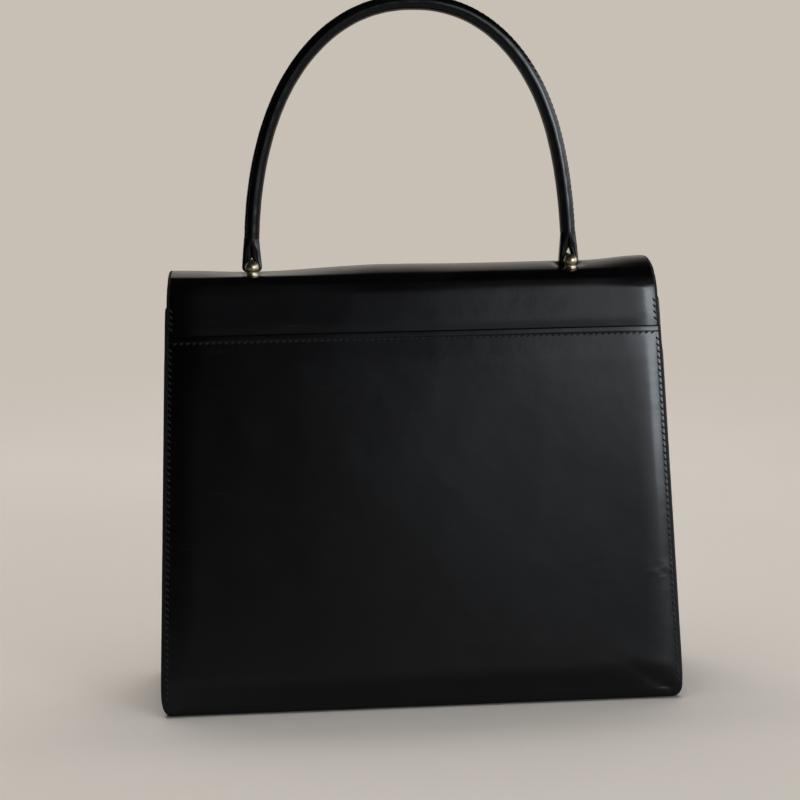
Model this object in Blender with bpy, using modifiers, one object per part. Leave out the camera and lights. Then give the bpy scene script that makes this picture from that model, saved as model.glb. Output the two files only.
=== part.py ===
"""A structured leather handbag with one rounded top handle, in metres, +Z up.

The origin is the middle of the base, on the surface that the bag stands on. The flap and its turn
lock face -Y, the plain back with its stitched yoke faces +Y, and left is +X. Each wall of the body
is drawn in a frame of its own: X across, Z up the leaning wall, Y out of the bag, and zero on the
wall's outer face.
"""

import math

import bmesh
import bpy
from mathutils import Matrix, Vector

# Body
BASE_WIDTH = 0.260
TOP_WIDTH = 0.243
BODY_HEIGHT = 0.2145
BASE_DEPTH = 0.088
LID_DEPTH = 0.036
SHOULDER_RADIUS = 0.0065
BASE_FOLD_RADIUS = 0.004
SEAM_DROP = 0.0295
SEAM_OVERLAP = 0.010
MOUTH_DROP = 0.0086

# Leather, boards and linings
GAP = 0.0003
LEATHER = 0.0016
GUSSET_LEATHER = 0.0013
LINING = 0.0008
WALL_BOARD = 0.003
YOKE_BOARD = 0.0012
LID_BOARD = 0.002
FLAP_BOARD = 0.001
BOARD_EDGE_INSET = 0.012
BASE_BOARD_EDGE_INSET = 0.006
WALL_FOOT_ROOM = 0.0012

# Gussets
GUSSET_TOP_DROP = 0.015
GUSSET_FLANGE = 0.006
GUSSET_FOLD = 0.014
GUSSET_LINING_ROOM = 0.0016
GUSSET_LINING_END = 0.0015
FOLD_ROOT_SHARE = 0.6
GUSSET_ROW_SHARES = (0.0, 0.015, 0.1, 0.24, 0.42, 0.6, 0.8)
GUSSET_COLUMN_SHARES = (-1.0, -0.66, -0.33, 0.0, 0.33, 0.66, 1.0)

# Slip pocket on the back lining
POCKET_WIDTH = 0.150
POCKET_HEIGHT = 0.095
POCKET_DROP = 0.052
POCKET_BINDING_HEIGHT = 0.006
POCKET_BINDING = 0.0012

# Handle
HANDLE_SPAN = 0.157
HANDLE_RISE = 0.126
HANDLE_DIAMETER = 0.0076
HANDLE_COVER = 0.0016
HANDLE_BULGE_SHARE = 2.15
HANDLE_STEPS = 34
LOOP_REACH = 0.014
LOOP_RADIUS = 0.005
LOOP_DROP = 0.0034
LOOP_EYE_RADIUS = 0.0024
LOOP_EYE_TOP = 0.0078
LOOP_WIDTH = 0.006
LOOP_END_ROOM = 0.0005
CORE_ENTRY = 0.0035

# Ball posts, pins and what holds them below the crest
FOOT_Y = 0.001
PIN_HEIGHT = 0.0042
PIN_DIAMETER = 0.0028
PIN_ROOM = 0.0001
BALL_RADIUS = 0.0034
BALL_ROOM = 0.00035
POST_RADIUS = 0.0025
STUD_RADIUS = 0.0011
STUD_ROOM = 0.0002
STUD_END = 0.0002
BACKING = 0.0008
BACKING_WIDTH = 0.012
BACKING_LENGTH = 0.019
NUT_RADIUS = 0.0022
NUT_HEIGHT = 0.0015

# Flap and its turn lock
FLAP_LENGTH = 0.100
FLAP_CORNER_RADIUS = 0.014
FLAP_SIDE_INSET = 0.0005
FLAP_LAYER_INSET = 0.004
FLAP_STANDOFF = 0.0025
LOCK_DROP = 0.076
LOCK_PLATE_WIDTH = 0.034
LOCK_PLATE_HEIGHT = 0.024
LOCK_PLATE = 0.0012
LOCK_BACK_PLATE = 0.0008
KNOB_LENGTH = 0.015
KNOB_WIDTH = 0.0055
KNOB_DEPTH = 0.004
KNOB_ROOM = 0.0004
KNOB_BEVEL = 0.0009
SLOT_SIDE_ROOM = 0.001
SLOT_LIFT_ROOM = 0.003
SLOT_LEATHER_ROOM = 0.0006
LOCK_BASE_WIDTH = 0.028
LOCK_BASE_HEIGHT = 0.016
SPINDLE_RADIUS = 0.002
SPINDLE_ROOM = 0.0004
CLIP_RADIUS = 0.0035
CLIP = 0.0008
CLIP_ROOM = 0.00005
SPINDLE_END = 0.0004
BOARD_WINDOW_ROOM = 0.001
RIVET_RADIUS = 0.001
RIVET_ROOM = 0.0002
RIVET_HEAD_RADIUS = 0.0017
RIVET_HEAD = 0.0006
BASE_RIVET_X = 0.0062
FLAP_RIVET_X = 0.0132

# Facets
ROUND_SIDES = 24
SMALL_SIDES = 16
BALL_SIDES = 22
BALL_RINGS = 9
NUT_SIDES = 6
WELD = 0.00001
CORNER_STEPS = 5
HANDLE_RESOLUTION = 3
OVERRUN = 0.002
SMOOTH_ANGLE = math.radians(35)

HINGE_Z = BODY_HEIGHT - SHOULDER_RADIUS
HINGE_Y = LID_DEPTH / 2
MOUTH_Z = BODY_HEIGHT - MOUTH_DROP
SEAM_Z = BODY_HEIGHT - SEAM_DROP
YOKE_LOW_Z = SEAM_Z - SEAM_OVERLAP
GUSSET_TOP_Z = BODY_HEIGHT - GUSSET_TOP_DROP
PANEL_STEP = LEATHER + GAP
FLAP_STACK = LEATHER + GAP + FLAP_BOARD + GAP + LINING
BASE_FLOOR = LEATHER + GAP + WALL_BOARD + GAP + LINING
PIN_Z = BODY_HEIGHT + PIN_HEIGHT
POST_OFFSET = LOOP_WIDTH / 2 + BALL_ROOM + BALL_RADIUS


def clear_scene():
    for old in list(bpy.data.objects):
        bpy.data.objects.remove(old)


def collection(name, helper=False):
    made = bpy.data.collections.new(name)
    made.hide_render = helper
    bpy.context.scene.collection.children.link(made)
    return made


def material(name, colour, roughness, metallic=0.0):
    made = bpy.data.materials.new(name)
    made.use_nodes = True
    shader = made.node_tree.nodes["Principled BSDF"]
    shader.inputs["Base Color"].default_value = (*colour, 1.0)
    shader.inputs["Roughness"].default_value = roughness
    shader.inputs["Metallic"].default_value = metallic
    return made


def half_width(z):
    """Half the bag's width at a height: its sides draw in evenly from the base to the top."""
    return (BASE_WIDTH + (TOP_WIDTH - BASE_WIDTH) * z / BODY_HEIGHT) / 2


class Wall:
    """One leaning wall: its foot on the base, its lean, and an empty that carries its flat layers."""

    def __init__(self, name, side, hinge_distance):
        self.side = side
        self.lean = math.atan((BASE_DEPTH / 2 - hinge_distance) / HINGE_Z)
        self.empty = bpy.data.objects.new(name, None)
        self.empty.location = (0, side * BASE_DEPTH / 2, 0)
        self.empty.rotation_euler = (self.lean, 0, 0 if side > 0 else math.pi)
        PARTS.objects.link(self.empty)

    def up(self, z):
        """The distance up the wall's face at which it has the height z."""
        return z / math.cos(self.lean)

    def face_y(self, z, depth=0.0):
        """Where a layer that deep in the wall crosses the height z."""
        outer = BASE_DEPTH / 2 - z * math.tan(self.lean)
        return self.side * (outer - depth / math.cos(self.lean))

    def outline(self, low_z, high_z, inset):
        """A strip of the wall between two heights, drawn in from its side edges."""
        low_half = half_width(low_z) - inset
        high_half = half_width(high_z) - inset
        low = self.up(low_z)
        high = self.up(high_z)
        return [(-low_half, low), (low_half, low), (high_half, high), (-high_half, high)]


def new_object(name, mesh, finish, parent=None, where=None):
    made = bpy.data.objects.new(name, mesh)
    if finish:
        mesh.materials.append(finish)
    (where or PARTS).objects.link(made)
    made.parent = parent
    if where is CUTTERS:
        made.hide_render = True
        made.display_type = "WIRE"
    return made


def mesh_from(name, bm, smooth=False):
    mesh = bpy.data.meshes.new(name)
    bm.to_mesh(mesh)
    bm.free()
    if smooth:
        mesh.shade_smooth()
        mesh.set_sharp_from_angle(angle=SMOOTH_ANGLE)
    return mesh


def solidify(obj, thickness, offset):
    layer = obj.modifiers.new("thickness", "SOLIDIFY")
    layer.thickness = thickness
    layer.offset = offset
    layer.use_even_offset = True


def boolean(obj, tool, operation="DIFFERENCE"):
    cut = obj.modifiers.new(operation.lower(), "BOOLEAN")
    cut.operation = operation
    cut.object = tool


def sheet(name, outline, outer_y, thickness, finish, parent, where=None):
    """A flat layer: an outline in X and Z, its outer face at outer_y, its thickness towards -Y."""
    bm = bmesh.new()
    middle = outer_y - thickness / 2
    bm.faces.new([bm.verts.new((x, middle, z)) for x, z in outline])
    made = new_object(name, mesh_from(name, bm), finish, parent, where)
    solidify(made, thickness, 0.0)
    return made


def strip(name, path, finish, thickness):
    """A bent sheet whose width follows the bag's sides: (y, z) points with the outside on the left."""
    bm = bmesh.new()
    rows = []
    for y, z in path:
        half = half_width(z)
        rows.append((bm.verts.new((-half, y, z)), bm.verts.new((half, y, z))))
    for (left, right), (next_left, next_right) in zip(rows, rows[1:]):
        bm.faces.new((left, right, next_right, next_left))
    made = new_object(name, mesh_from(name, bm), finish)
    solidify(made, thickness, -1.0)
    return made


def cylinder(name, radius, low, high, centre, axis, finish=None, parent=None, sides=ROUND_SIDES, where=None):
    """A round bar from low to high along an axis that starts at the centre."""
    bm = bmesh.new()
    bmesh.ops.create_cone(
        bm, cap_ends=True, segments=sides, radius1=radius, radius2=radius, depth=high - low
    )
    along = Vector(axis)
    turn = Vector((0, 0, 1)).rotation_difference(along).to_matrix().to_4x4()
    middle = Vector(centre) + along * (low + high) / 2
    bmesh.ops.transform(bm, matrix=Matrix.Translation(middle) @ turn, verts=bm.verts)
    return new_object(name, mesh_from(name, bm, True), finish, parent, where)


def cutter_bar(name, radius, low, high, centre, axis, parent=None, sides=ROUND_SIDES):
    return cylinder(name, radius, low, high, centre, axis, None, parent, sides, CUTTERS)


def stadium(length, width, centre_x=0.0, centre_z=0.0, sides=ROUND_SIDES):
    """A bar outline with round ends, longest in the first direction."""
    radius = width / 2
    reach = (length - width) / 2
    half = sides // 2
    points = []
    for end, start in ((1, -math.pi / 2), (-1, math.pi / 2)):
        for step in range(half + 1):
            angle = start + math.pi * step / half
            x = centre_x + end * reach + radius * math.cos(angle)
            points.append((x, centre_z + radius * math.sin(angle)))
    return points


def ellipse(width, height, centre_z=0.0, sides=ROUND_SIDES):
    angles = [2 * math.pi * step / sides for step in range(sides)]
    return [(width / 2 * math.cos(a), centre_z + height / 2 * math.sin(a)) for a in angles]


def arc(centre, radius, start, end, steps=CORNER_STEPS):
    """Points on an arc in the plane of the path, from one angle to another."""
    points = []
    for step in range(steps + 1):
        angle = start + (end - start) * step / steps
        points.append((centre[0] + radius * math.cos(angle), centre[1] + radius * math.sin(angle)))
    return points


def base_fold(wall):
    """The round fold between the base and a leaning wall, from the base up."""
    room = BASE_FOLD_RADIUS * (1 + math.sin(wall.lean)) / math.cos(wall.lean)
    centre_y = BASE_DEPTH / 2 - room
    points = arc((centre_y, BASE_FOLD_RADIUS), BASE_FOLD_RADIUS, -math.pi / 2, wall.lean)
    return [(wall.side * y, z) for y, z in points]


def body_leather(back, front):
    """Back, base and front are one piece of leather, folded at both bottom edges."""
    path = [(back.face_y(SEAM_Z), SEAM_Z)]
    path += reversed(base_fold(back))
    path += base_fold(front)
    path.append((front.face_y(MOUTH_Z), MOUTH_Z))
    return strip("body_leather", path, BLACK_LEATHER, LEATHER)


def body_boards_and_linings(back, front):
    yoke_face = -PANEL_STEP
    foot_z = BASE_FLOOR + WALL_FOOT_ROOM
    board_y = -PANEL_STEP
    lining_y = board_y - WALL_BOARD - GAP
    yoke_outline = back.outline(YOKE_LOW_Z, HINGE_Z - GAP, 0.0)
    sheet("back_yoke", yoke_outline, yoke_face, LEATHER, BLACK_LEATHER, back.empty)
    back_board = back.outline(foot_z, YOKE_LOW_Z - GAP, BOARD_EDGE_INSET)
    sheet("back_board", back_board, board_y, WALL_BOARD, BOARD_GREY, back.empty)
    yoke_board = back.outline(YOKE_LOW_Z + GAP, MOUTH_Z, BOARD_EDGE_INSET)
    yoke_board_y = yoke_face - PANEL_STEP
    sheet("yoke_board", yoke_board, yoke_board_y, YOKE_BOARD, BOARD_GREY, back.empty)
    back_lining_y = min(lining_y, yoke_board_y - YOKE_BOARD - GAP)
    back_lining = back.outline(foot_z, MOUTH_Z, BOARD_EDGE_INSET)
    sheet("back_lining", back_lining, back_lining_y, LINING, LINING_CLOTH, back.empty)
    slip_pocket(back, back_lining_y - LINING - GAP)

    front_outline = front.outline(foot_z, MOUTH_Z, BOARD_EDGE_INSET)
    front_board = sheet("front_board", front_outline, board_y, WALL_BOARD, BOARD_GREY, front.empty)
    sheet("front_lining", front_outline, lining_y, LINING, LINING_CLOTH, front.empty)
    return front_board


def slip_pocket(back, outer_y):
    """A flat patch pocket on the back lining, with a leather binding along its mouth."""
    high = back.up(MOUTH_Z) - POCKET_DROP
    low = high - POCKET_HEIGHT
    half = POCKET_WIDTH / 2
    pocket = [(-half, low), (half, low), (half, high), (-half, high)]
    sheet("slip_pocket", pocket, outer_y, LINING, LINING_CLOTH, back.empty)
    bottom = high + GAP
    top = bottom + POCKET_BINDING_HEIGHT
    binding = [(-half, bottom), (half, bottom), (half, top), (-half, top)]
    sheet("pocket_binding", binding, outer_y, POCKET_BINDING, BLACK_LEATHER, back.empty)


def base_layers():
    """The base's board and lining, lying on the leather between the gussets' flanges."""
    half_x = BASE_WIDTH / 2 - BOARD_EDGE_INSET
    half_y = BASE_DEPTH / 2 - BASE_BOARD_EDGE_INSET
    outline = [(-half_x, -half_y), (half_x, -half_y), (half_x, half_y), (-half_x, half_y)]
    lay_flat("base_board", outline, LEATHER + GAP, WALL_BOARD, BOARD_GREY)
    lay_flat("base_lining", outline, LEATHER + GAP + WALL_BOARD + GAP, LINING, LINING_CLOTH)


def lay_flat(name, outline, low_z, thickness, finish):
    """A level layer: an outline in X and Y, its lower face at low_z."""
    bm = bmesh.new()
    bm.faces.new([bm.verts.new((x, y, 0)) for x, y in outline])
    made = new_object(name, mesh_from(name, bm), finish)
    made.location = (0, 0, low_z + thickness / 2)
    solidify(made, thickness, 0.0)
    return made


def gusset_rows(back, front):
    """Heights, with the back and front edges of the gusset at each of them."""
    low_z = LEATHER + GAP
    jog_low = YOKE_LOW_Z - PANEL_STEP - GAP
    jog_high = YOKE_LOW_Z - GAP
    climb = [low_z + (jog_low - low_z) * share for share in GUSSET_ROW_SHARES]
    rows = []
    for z in climb + [jog_low, jog_high, GUSSET_TOP_Z]:
        behind = PANEL_STEP if z <= jog_low else PANEL_STEP + PANEL_STEP
        rows.append([z, back.face_y(z, behind), front.face_y(z, PANEL_STEP)])
    fold = BASE_FOLD_RADIUS
    rows[0][1] -= fold
    rows[0][2] += fold
    return rows


def gusset_sheet(name, side, back, front, shift, end_room, flange, thickness, finish):
    """One side: a sheet folded inwards down its middle, with a flange along both walls and the base."""
    bm = bmesh.new()
    grid = []
    for z, back_y, front_y in gusset_rows(back, front):
        depth = GUSSET_FOLD * (z / GUSSET_TOP_Z) ** FOLD_ROOT_SHARE
        edge_x = half_width(z) - GUSSET_FLANGE - shift
        middle = (back_y + front_y) / 2
        reach = (back_y - front_y) / 2
        lift = 0.0 if grid else shift
        line = []
        for share in GUSSET_COLUMN_SHARES:
            across = share * (1 - end_room / reach)
            x = edge_x - depth * (1 - abs(across))
            line.append(bm.verts.new((side * x, middle + reach * across, z + lift)))
        grid.append(line)
    for line, upper in zip(grid, grid[1:]):
        for a, b, c, d in zip(line, line[1:], upper[1:], upper):
            bm.faces.new((d, c, b, a) if side > 0 else (a, b, c, d))
    if flange:
        rim = [line[0] for line in reversed(grid)] + grid[0][1:-1] + [line[-1] for line in grid]
        outer = [bm.verts.new(v.co + Vector((side * flange, 0, 0))) for v in rim]
        for a, b, c, d in zip(rim, rim[1:], outer[1:], outer):
            bm.faces.new((a, b, c, d) if side > 0 else (d, c, b, a))
    made = new_object(name, mesh_from(name, bm), finish)
    solidify(made, thickness, -1.0)
    return made


def gussets(back, front):
    for side, word in ((1, "left"), (-1, "right")):
        gusset_sheet(
            "gusset_" + word, side, back, front, 0.0, 0.0, GUSSET_FLANGE, GUSSET_LEATHER, BLACK_LEATHER
        )
        end_room = PANEL_STEP + GUSSET_LEATHER + GUSSET_LINING_END
        gusset_sheet(
            "gusset_lining_" + word, side, back, front, GUSSET_LINING_ROOM, end_room, 0.0, LINING,
            LINING_CLOTH,
        )


def lid_layers():
    """The crest: the leather that rolls over both shoulders, with its board and lining below."""
    reach = HINGE_Y - SHOULDER_RADIUS
    rear = arc((reach, HINGE_Z), SHOULDER_RADIUS, 0.0, math.pi / 2)
    rear[0] = (HINGE_Y, HINGE_Z + GAP)
    path = rear[::-1]
    path = [(-y, z) for y, z in rear] + path
    leather = strip("lid_leather", path, BLACK_LEATHER, LEATHER)
    half_x = TOP_WIDTH / 2 - BOARD_EDGE_INSET
    board_z = BODY_HEIGHT - LEATHER - GAP - LID_BOARD
    outline = [(-half_x, -reach), (half_x, -reach), (half_x, reach), (-half_x, reach)]
    board = lay_flat("lid_board", outline, board_z, LID_BOARD, BOARD_GREY)
    backing_z = board_z - GAP - BACKING
    stud_low_z = backing_z - GAP - NUT_HEIGHT - STUD_END
    lining_z = stud_low_z - GAP - LINING
    rear_y = HINGE_Y - LEATHER - GAP - WALL_BOARD - GAP
    front_y = -HINGE_Y + FLAP_STACK + GAP + GAP
    outline = [(-half_x, front_y), (half_x, front_y), (half_x, rear_y), (-half_x, rear_y)]
    lay_flat("lid_lining", outline, lining_z, LINING, LINING_CLOTH)
    return leather, board, backing_z, stud_low_z


def handle_feet(leather, board, backing_z, stud_low_z):
    """Each foot: two ball-topped posts with a pin between the balls, a backing plate and two nuts."""
    for side, word in ((1, "left"), (-1, "right")):
        x = side * HANDLE_SPAN / 2
        posts = [(FOOT_Y + POST_OFFSET, "rear"), (FOOT_Y - POST_OFFSET, "front")]
        outline = [(across, along) for along, across in stadium(BACKING_LENGTH, BACKING_WIDTH, FOOT_Y, x)]
        plate = lay_flat("backing_plate_" + word, outline, backing_z, BACKING, PLATED_STEEL)
        pin_bore = handle_pin(word, x)
        for y, place in posts:
            tag = f"{word}_{place}"
            boolean(ball_post("ball_post_" + tag, x, y, stud_low_z), pin_bore)
            bore = cutter_bar(
                "stud_bore_" + tag, STUD_RADIUS + STUD_ROOM, stud_low_z - OVERRUN, BODY_HEIGHT + OVERRUN,
                (x, y, 0), (0, 0, 1), sides=SMALL_SIDES,
            )
            nut_top = backing_z - GAP
            nut = cylinder(
                "stud_nut_" + tag, NUT_RADIUS, nut_top - NUT_HEIGHT, nut_top, (x, y, 0), (0, 0, 1),
                PLATED_STEEL, sides=NUT_SIDES,
            )
            for holed in (leather, board, plate, nut):
                boolean(holed, bore)


def handle_pin(word, x):
    """The pin goes in through the front ball and ends inside the rear one. Returns its bore."""
    far_y = FOOT_Y - POST_OFFSET - BALL_RADIUS
    near_y = FOOT_Y + POST_OFFSET + PIN_DIAMETER / 2
    centre = (x, 0, PIN_Z)
    along = (0, 1, 0)
    radius = PIN_DIAMETER / 2
    cylinder("handle_pin_" + word, radius, far_y + GAP, near_y, centre, along, PALE_GOLD, sides=SMALL_SIDES)
    return cutter_bar(
        "pin_bore_" + word, radius + PIN_ROOM, far_y - OVERRUN, near_y + GAP, centre, along, sides=SMALL_SIDES
    )


def ball_post(name, x, y, stud_low_z):
    """A turned post: a ball on a straight neck that stands on the crest, with a stud below."""
    tilt = math.asin(POST_RADIUS / BALL_RADIUS)
    outer = arc((0, PIN_Z), BALL_RADIUS, math.pi / 2, tilt - math.pi / 2, BALL_RINGS)
    seat_z = BODY_HEIGHT + GAP
    outer += [(POST_RADIUS, seat_z), (STUD_RADIUS, seat_z), (STUD_RADIUS, stud_low_z), (0, stud_low_z)]
    outer[0] = (0, PIN_Z + BALL_RADIUS)
    bm = bmesh.new()
    line = [bm.verts.new((across, 0, z)) for across, z in outer]
    for start, end in zip(line, line[1:]):
        bm.edges.new((start, end))
    made = new_object(name, mesh_from(name, bm), PALE_GOLD)
    made.location = (x, y, 0)
    turn = made.modifiers.new("turn", "SCREW")
    turn.steps = BALL_SIDES
    turn.render_steps = BALL_SIDES
    turn.use_merge_vertices = True
    turn.merge_threshold = WELD
    return made


def arch_points():
    """The handle's centre line: a full arch with nearly upright legs, ending above both loops."""
    power = 2 / HANDLE_BULGE_SHARE
    start = math.asin((LOOP_REACH / HANDLE_RISE) ** (1 / power))
    points = []
    for step in range(HANDLE_STEPS + 1):
        angle = start + (math.pi - 2 * start) * step / HANDLE_STEPS
        along = math.cos(angle)
        x = math.copysign(HANDLE_SPAN / 2 * abs(along) ** power, along)
        points.append(Vector((x, 0, HANDLE_RISE * math.sin(angle) ** power)))
    return points


def tube(name, points, radius, finish, parent, capped):
    curve = bpy.data.curves.new(name, "CURVE")
    curve.dimensions = "3D"
    curve.bevel_depth = radius
    curve.bevel_resolution = HANDLE_RESOLUTION
    curve.use_fill_caps = capped
    line = curve.splines.new("POLY")
    line.points.add(len(points) - 1)
    for point, place in zip(line.points, points):
        point.co = (*place, 1.0)
    made = bpy.data.objects.new(name, curve)
    curve.materials.append(finish)
    PARTS.objects.link(made)
    made.parent = parent
    return made


def handle():
    """The tubular handle about its pins: leather cover, cord core and a folded loop at each end."""
    pivot = bpy.data.objects.new("handle_pivot", None)
    pivot.location = (0, FOOT_Y, PIN_Z)
    PARTS.objects.link(pivot)
    points = arch_points()
    cover = tube("handle_cover", points, HANDLE_DIAMETER / 2, BLACK_LEATHER, pivot, False)
    solidify(cover, HANDLE_COVER, -1.0)
    core_radius = HANDLE_DIAMETER / 2 - HANDLE_COVER - GAP
    drop = Vector((0, 0, CORE_ENTRY + LOOP_END_ROOM))
    ends = [points[0] - drop, points[-1] - drop]
    tube("handle_core", [ends[0], *points, ends[1]], core_radius, CORE_CORD, pivot, True)
    for side, word in ((1, "left"), (-1, "right")):
        handle_loop(word, side * HANDLE_SPAN / 2, ends[0].x * side, core_radius, pivot)


def teardrop(x, radius, neck_half, neck_z):
    """A round eye outline drawn up to a straight-topped neck."""
    reach = math.hypot(neck_half, neck_z)
    swing = math.atan2(neck_z, neck_half) - math.acos(radius / reach)
    points = arc((x, 0), radius, swing, -math.pi - swing, ROUND_SIDES)
    return [(x + neck_half, neck_z), *points, (x - neck_half, neck_z)]


def handle_loop(word, x, neck_x, core_radius, pivot):
    neck_z = LOOP_REACH - LOOP_END_ROOM
    outline = teardrop(x, LOOP_RADIUS, HANDLE_DIAMETER / 2, neck_z)
    flatten = LOOP_DROP / LOOP_RADIUS
    outline = [(across, z if z > 0 else z * flatten) for across, z in outline]
    name = "handle_loop_" + word
    loop = sheet(name, outline, LOOP_WIDTH / 2, LOOP_WIDTH, BLACK_LEATHER, pivot)
    eye_outline = teardrop(x, LOOP_EYE_RADIUS, GAP, LOOP_EYE_TOP)
    through = LOOP_WIDTH + 2 * OVERRUN
    eye = sheet("eye_" + word, eye_outline, through / 2, through, None, pivot, CUTTERS)
    boolean(loop, eye)
    bore_low = LOOP_REACH - LOOP_END_ROOM - CORE_ENTRY - GAP
    bore = cutter_bar(
        "core_bore_" + word, core_radius + GAP, bore_low, LOOP_REACH + OVERRUN, (neck_x, 0, 0), (0, 0, 1),
        pivot, SMALL_SIDES,
    )
    boolean(loop, bore)


def flap(front):
    """The flap hangs from the crest's front edge, parallel to the front wall and clear of it."""
    hinge = bpy.data.objects.new("flap_hinge", None)
    hinge.location = (0, -HINGE_Y, HINGE_Z)
    hinge.rotation_euler = (front.lean, 0, math.pi)
    PARTS.objects.link(hinge)
    slot_length = KNOB_LENGTH + 2 * SLOT_SIDE_ROOM
    slot_width = KNOB_WIDTH + 2 * SLOT_LIFT_ROOM
    lock_z = -LOCK_DROP
    wide_slot = stadium(slot_length + 2 * SLOT_LEATHER_ROOM, slot_width + 2 * SLOT_LEATHER_ROOM, 0.0, lock_z)
    leather_slot = slot_cutter("leather_slot", wide_slot, hinge)
    plate_slot = slot_cutter("plate_slot", stadium(slot_length, slot_width, 0.0, lock_z), hinge)

    layers = (
        ("flap_leather", 0.0, LEATHER, 0.0, BLACK_LEATHER),
        ("flap_board", -LEATHER - GAP, FLAP_BOARD, FLAP_LAYER_INSET, BOARD_GREY),
        ("flap_lining", -FLAP_STACK + LINING, LINING, FLAP_SIDE_INSET, LINING_CLOTH),
    )
    holed = []
    for name, outer_y, thickness, inset, finish in layers:
        layer = sheet(name, flap_outline(front, inset), outer_y, thickness, finish, hinge)
        boolean(layer, leather_slot)
        holed.append(layer)

    plate_y = GAP + LOCK_PLATE
    outline = ellipse(LOCK_PLATE_WIDTH, LOCK_PLATE_HEIGHT, lock_z)
    plate = sheet("lock_flap_plate", outline, plate_y, LOCK_PLATE, PALE_GOLD, hinge)
    back_y = -FLAP_STACK - GAP
    backing = sheet("lock_flap_backing", outline, back_y, LOCK_BACK_PLATE, PALE_GOLD, hinge)
    for metal in (plate, backing):
        boolean(metal, plate_slot)
    holed += [plate, backing]
    for side, word in ((-1, "left"), (1, "right")):
        centre = (side * FLAP_RIVET_X, 0, lock_z)
        rivet("flap_rivet_" + word, centre, back_y - LOCK_BACK_PLATE, plate_y, hinge, holed)
    return hinge


def flap_outline(front, inset):
    """The flap narrows with the bag's sides and has rounded lower corners."""
    top = -GAP
    bottom = -FLAP_LENGTH + inset
    widest = half_width(HINGE_Z + bottom * math.cos(front.lean)) - FLAP_SIDE_INSET - inset
    narrow = half_width(HINGE_Z) - FLAP_SIDE_INSET - inset
    radius = FLAP_CORNER_RADIUS - inset
    corner = arc((widest - radius, bottom + radius), radius, 0.0, -math.pi / 2)
    return [(narrow, top), *corner, *[(-x, z) for x, z in reversed(corner)], (-narrow, top)]


def slot_cutter(name, outline, parent):
    deep = 2 * (FLAP_STACK + FLAP_STANDOFF)
    return sheet(name, outline, deep / 2, deep, None, parent, CUTTERS)


def rivet(name, centre, low, high, parent, holed):
    """A rivet with a flat head at its outer end, through every layer in the list."""
    head = cylinder(
        name, RIVET_HEAD_RADIUS, high + GAP, high + GAP + RIVET_HEAD, centre, (0, 1, 0), PALE_GOLD, parent,
        SMALL_SIDES,
    )
    shank = cutter_bar(
        name + "_shank", RIVET_RADIUS, low, high + 2 * GAP, centre, (0, 1, 0), parent, SMALL_SIDES
    )
    boolean(head, shank, "UNION")
    bore = cutter_bar(
        name + "_bore", RIVET_RADIUS + RIVET_ROOM, low - OVERRUN, high + OVERRUN, centre, (0, 1, 0), parent,
        SMALL_SIDES,
    )
    for layer in holed:
        boolean(layer, bore)


def turn_lock(front, hinge, leather, board):
    """The lock's fixed half on the front wall, and the toggle on its spindle through the wall."""
    foot = front.empty.matrix_basis.inverted() @ hinge.matrix_basis @ Vector((0, 0, -LOCK_DROP))
    seat = bpy.data.objects.new("toggle_spindle_axis", None)
    seat.parent = front.empty
    seat.location = (0, 0, foot.z)
    PARTS.objects.link(seat)
    out = (0, 1, 0)
    middle = (0, 0, 0)

    base_y = GAP + LOCK_BACK_PLATE
    outline = stadium(LOCK_BASE_WIDTH, LOCK_BASE_HEIGHT)
    base = sheet("lock_base_plate", outline, base_y, LOCK_BACK_PLATE, PALE_GOLD, seat)
    washer_y = -LEATHER - GAP
    washer = sheet("lock_backing_plate", outline, washer_y, LOCK_BACK_PLATE, PLATED_STEEL, seat)
    window = stadium(LOCK_BASE_WIDTH + 2 * BOARD_WINDOW_ROOM, LOCK_BASE_HEIGHT + 2 * BOARD_WINDOW_ROOM)
    window_depth = LEATHER + WALL_BOARD
    cutout = sheet("board_window", window, -LEATHER, window_depth, None, seat, CUTTERS)
    boolean(board, cutout)

    clip_y = washer_y - LOCK_BACK_PLATE - GAP
    end_y = clip_y - CLIP - SPINDLE_END
    bore = cutter_bar(
        "spindle_bore", SPINDLE_RADIUS + SPINDLE_ROOM, end_y - OVERRUN, base_y + OVERRUN, middle, out, seat
    )
    for holed in (base, washer, leather):
        boolean(holed, bore)

    knob_low = (FLAP_STANDOFF + FLAP_STACK) + GAP + LOCK_PLATE + KNOB_ROOM
    knob_outline = stadium(KNOB_LENGTH, KNOB_WIDTH)
    knob = sheet("lock_toggle", knob_outline, knob_low + KNOB_DEPTH, KNOB_DEPTH, PALE_GOLD, seat)
    soften = knob.modifiers.new("soft edges", "BEVEL")
    soften.width = KNOB_BEVEL
    soften.segments = 2
    shaft = cutter_bar("spindle", SPINDLE_RADIUS, end_y, knob_low + KNOB_BEVEL, middle, out, seat)
    boolean(knob, shaft, "UNION")
    clip = cylinder("spindle_clip", CLIP_RADIUS, clip_y - CLIP, clip_y, middle, out, PLATED_STEEL, seat)
    clip_bore = cutter_bar(
        "clip_bore", SPINDLE_RADIUS + CLIP_ROOM, end_y - OVERRUN, clip_y + OVERRUN, middle, out, seat
    )
    boolean(clip, clip_bore)
    for side, word in ((-1, "left"), (1, "right")):
        centre = (side * BASE_RIVET_X, 0, 0)
        rivet("lock_rivet_" + word, centre, washer_y - LOCK_BACK_PLATE, base_y, seat, [base, washer, leather])


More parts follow.
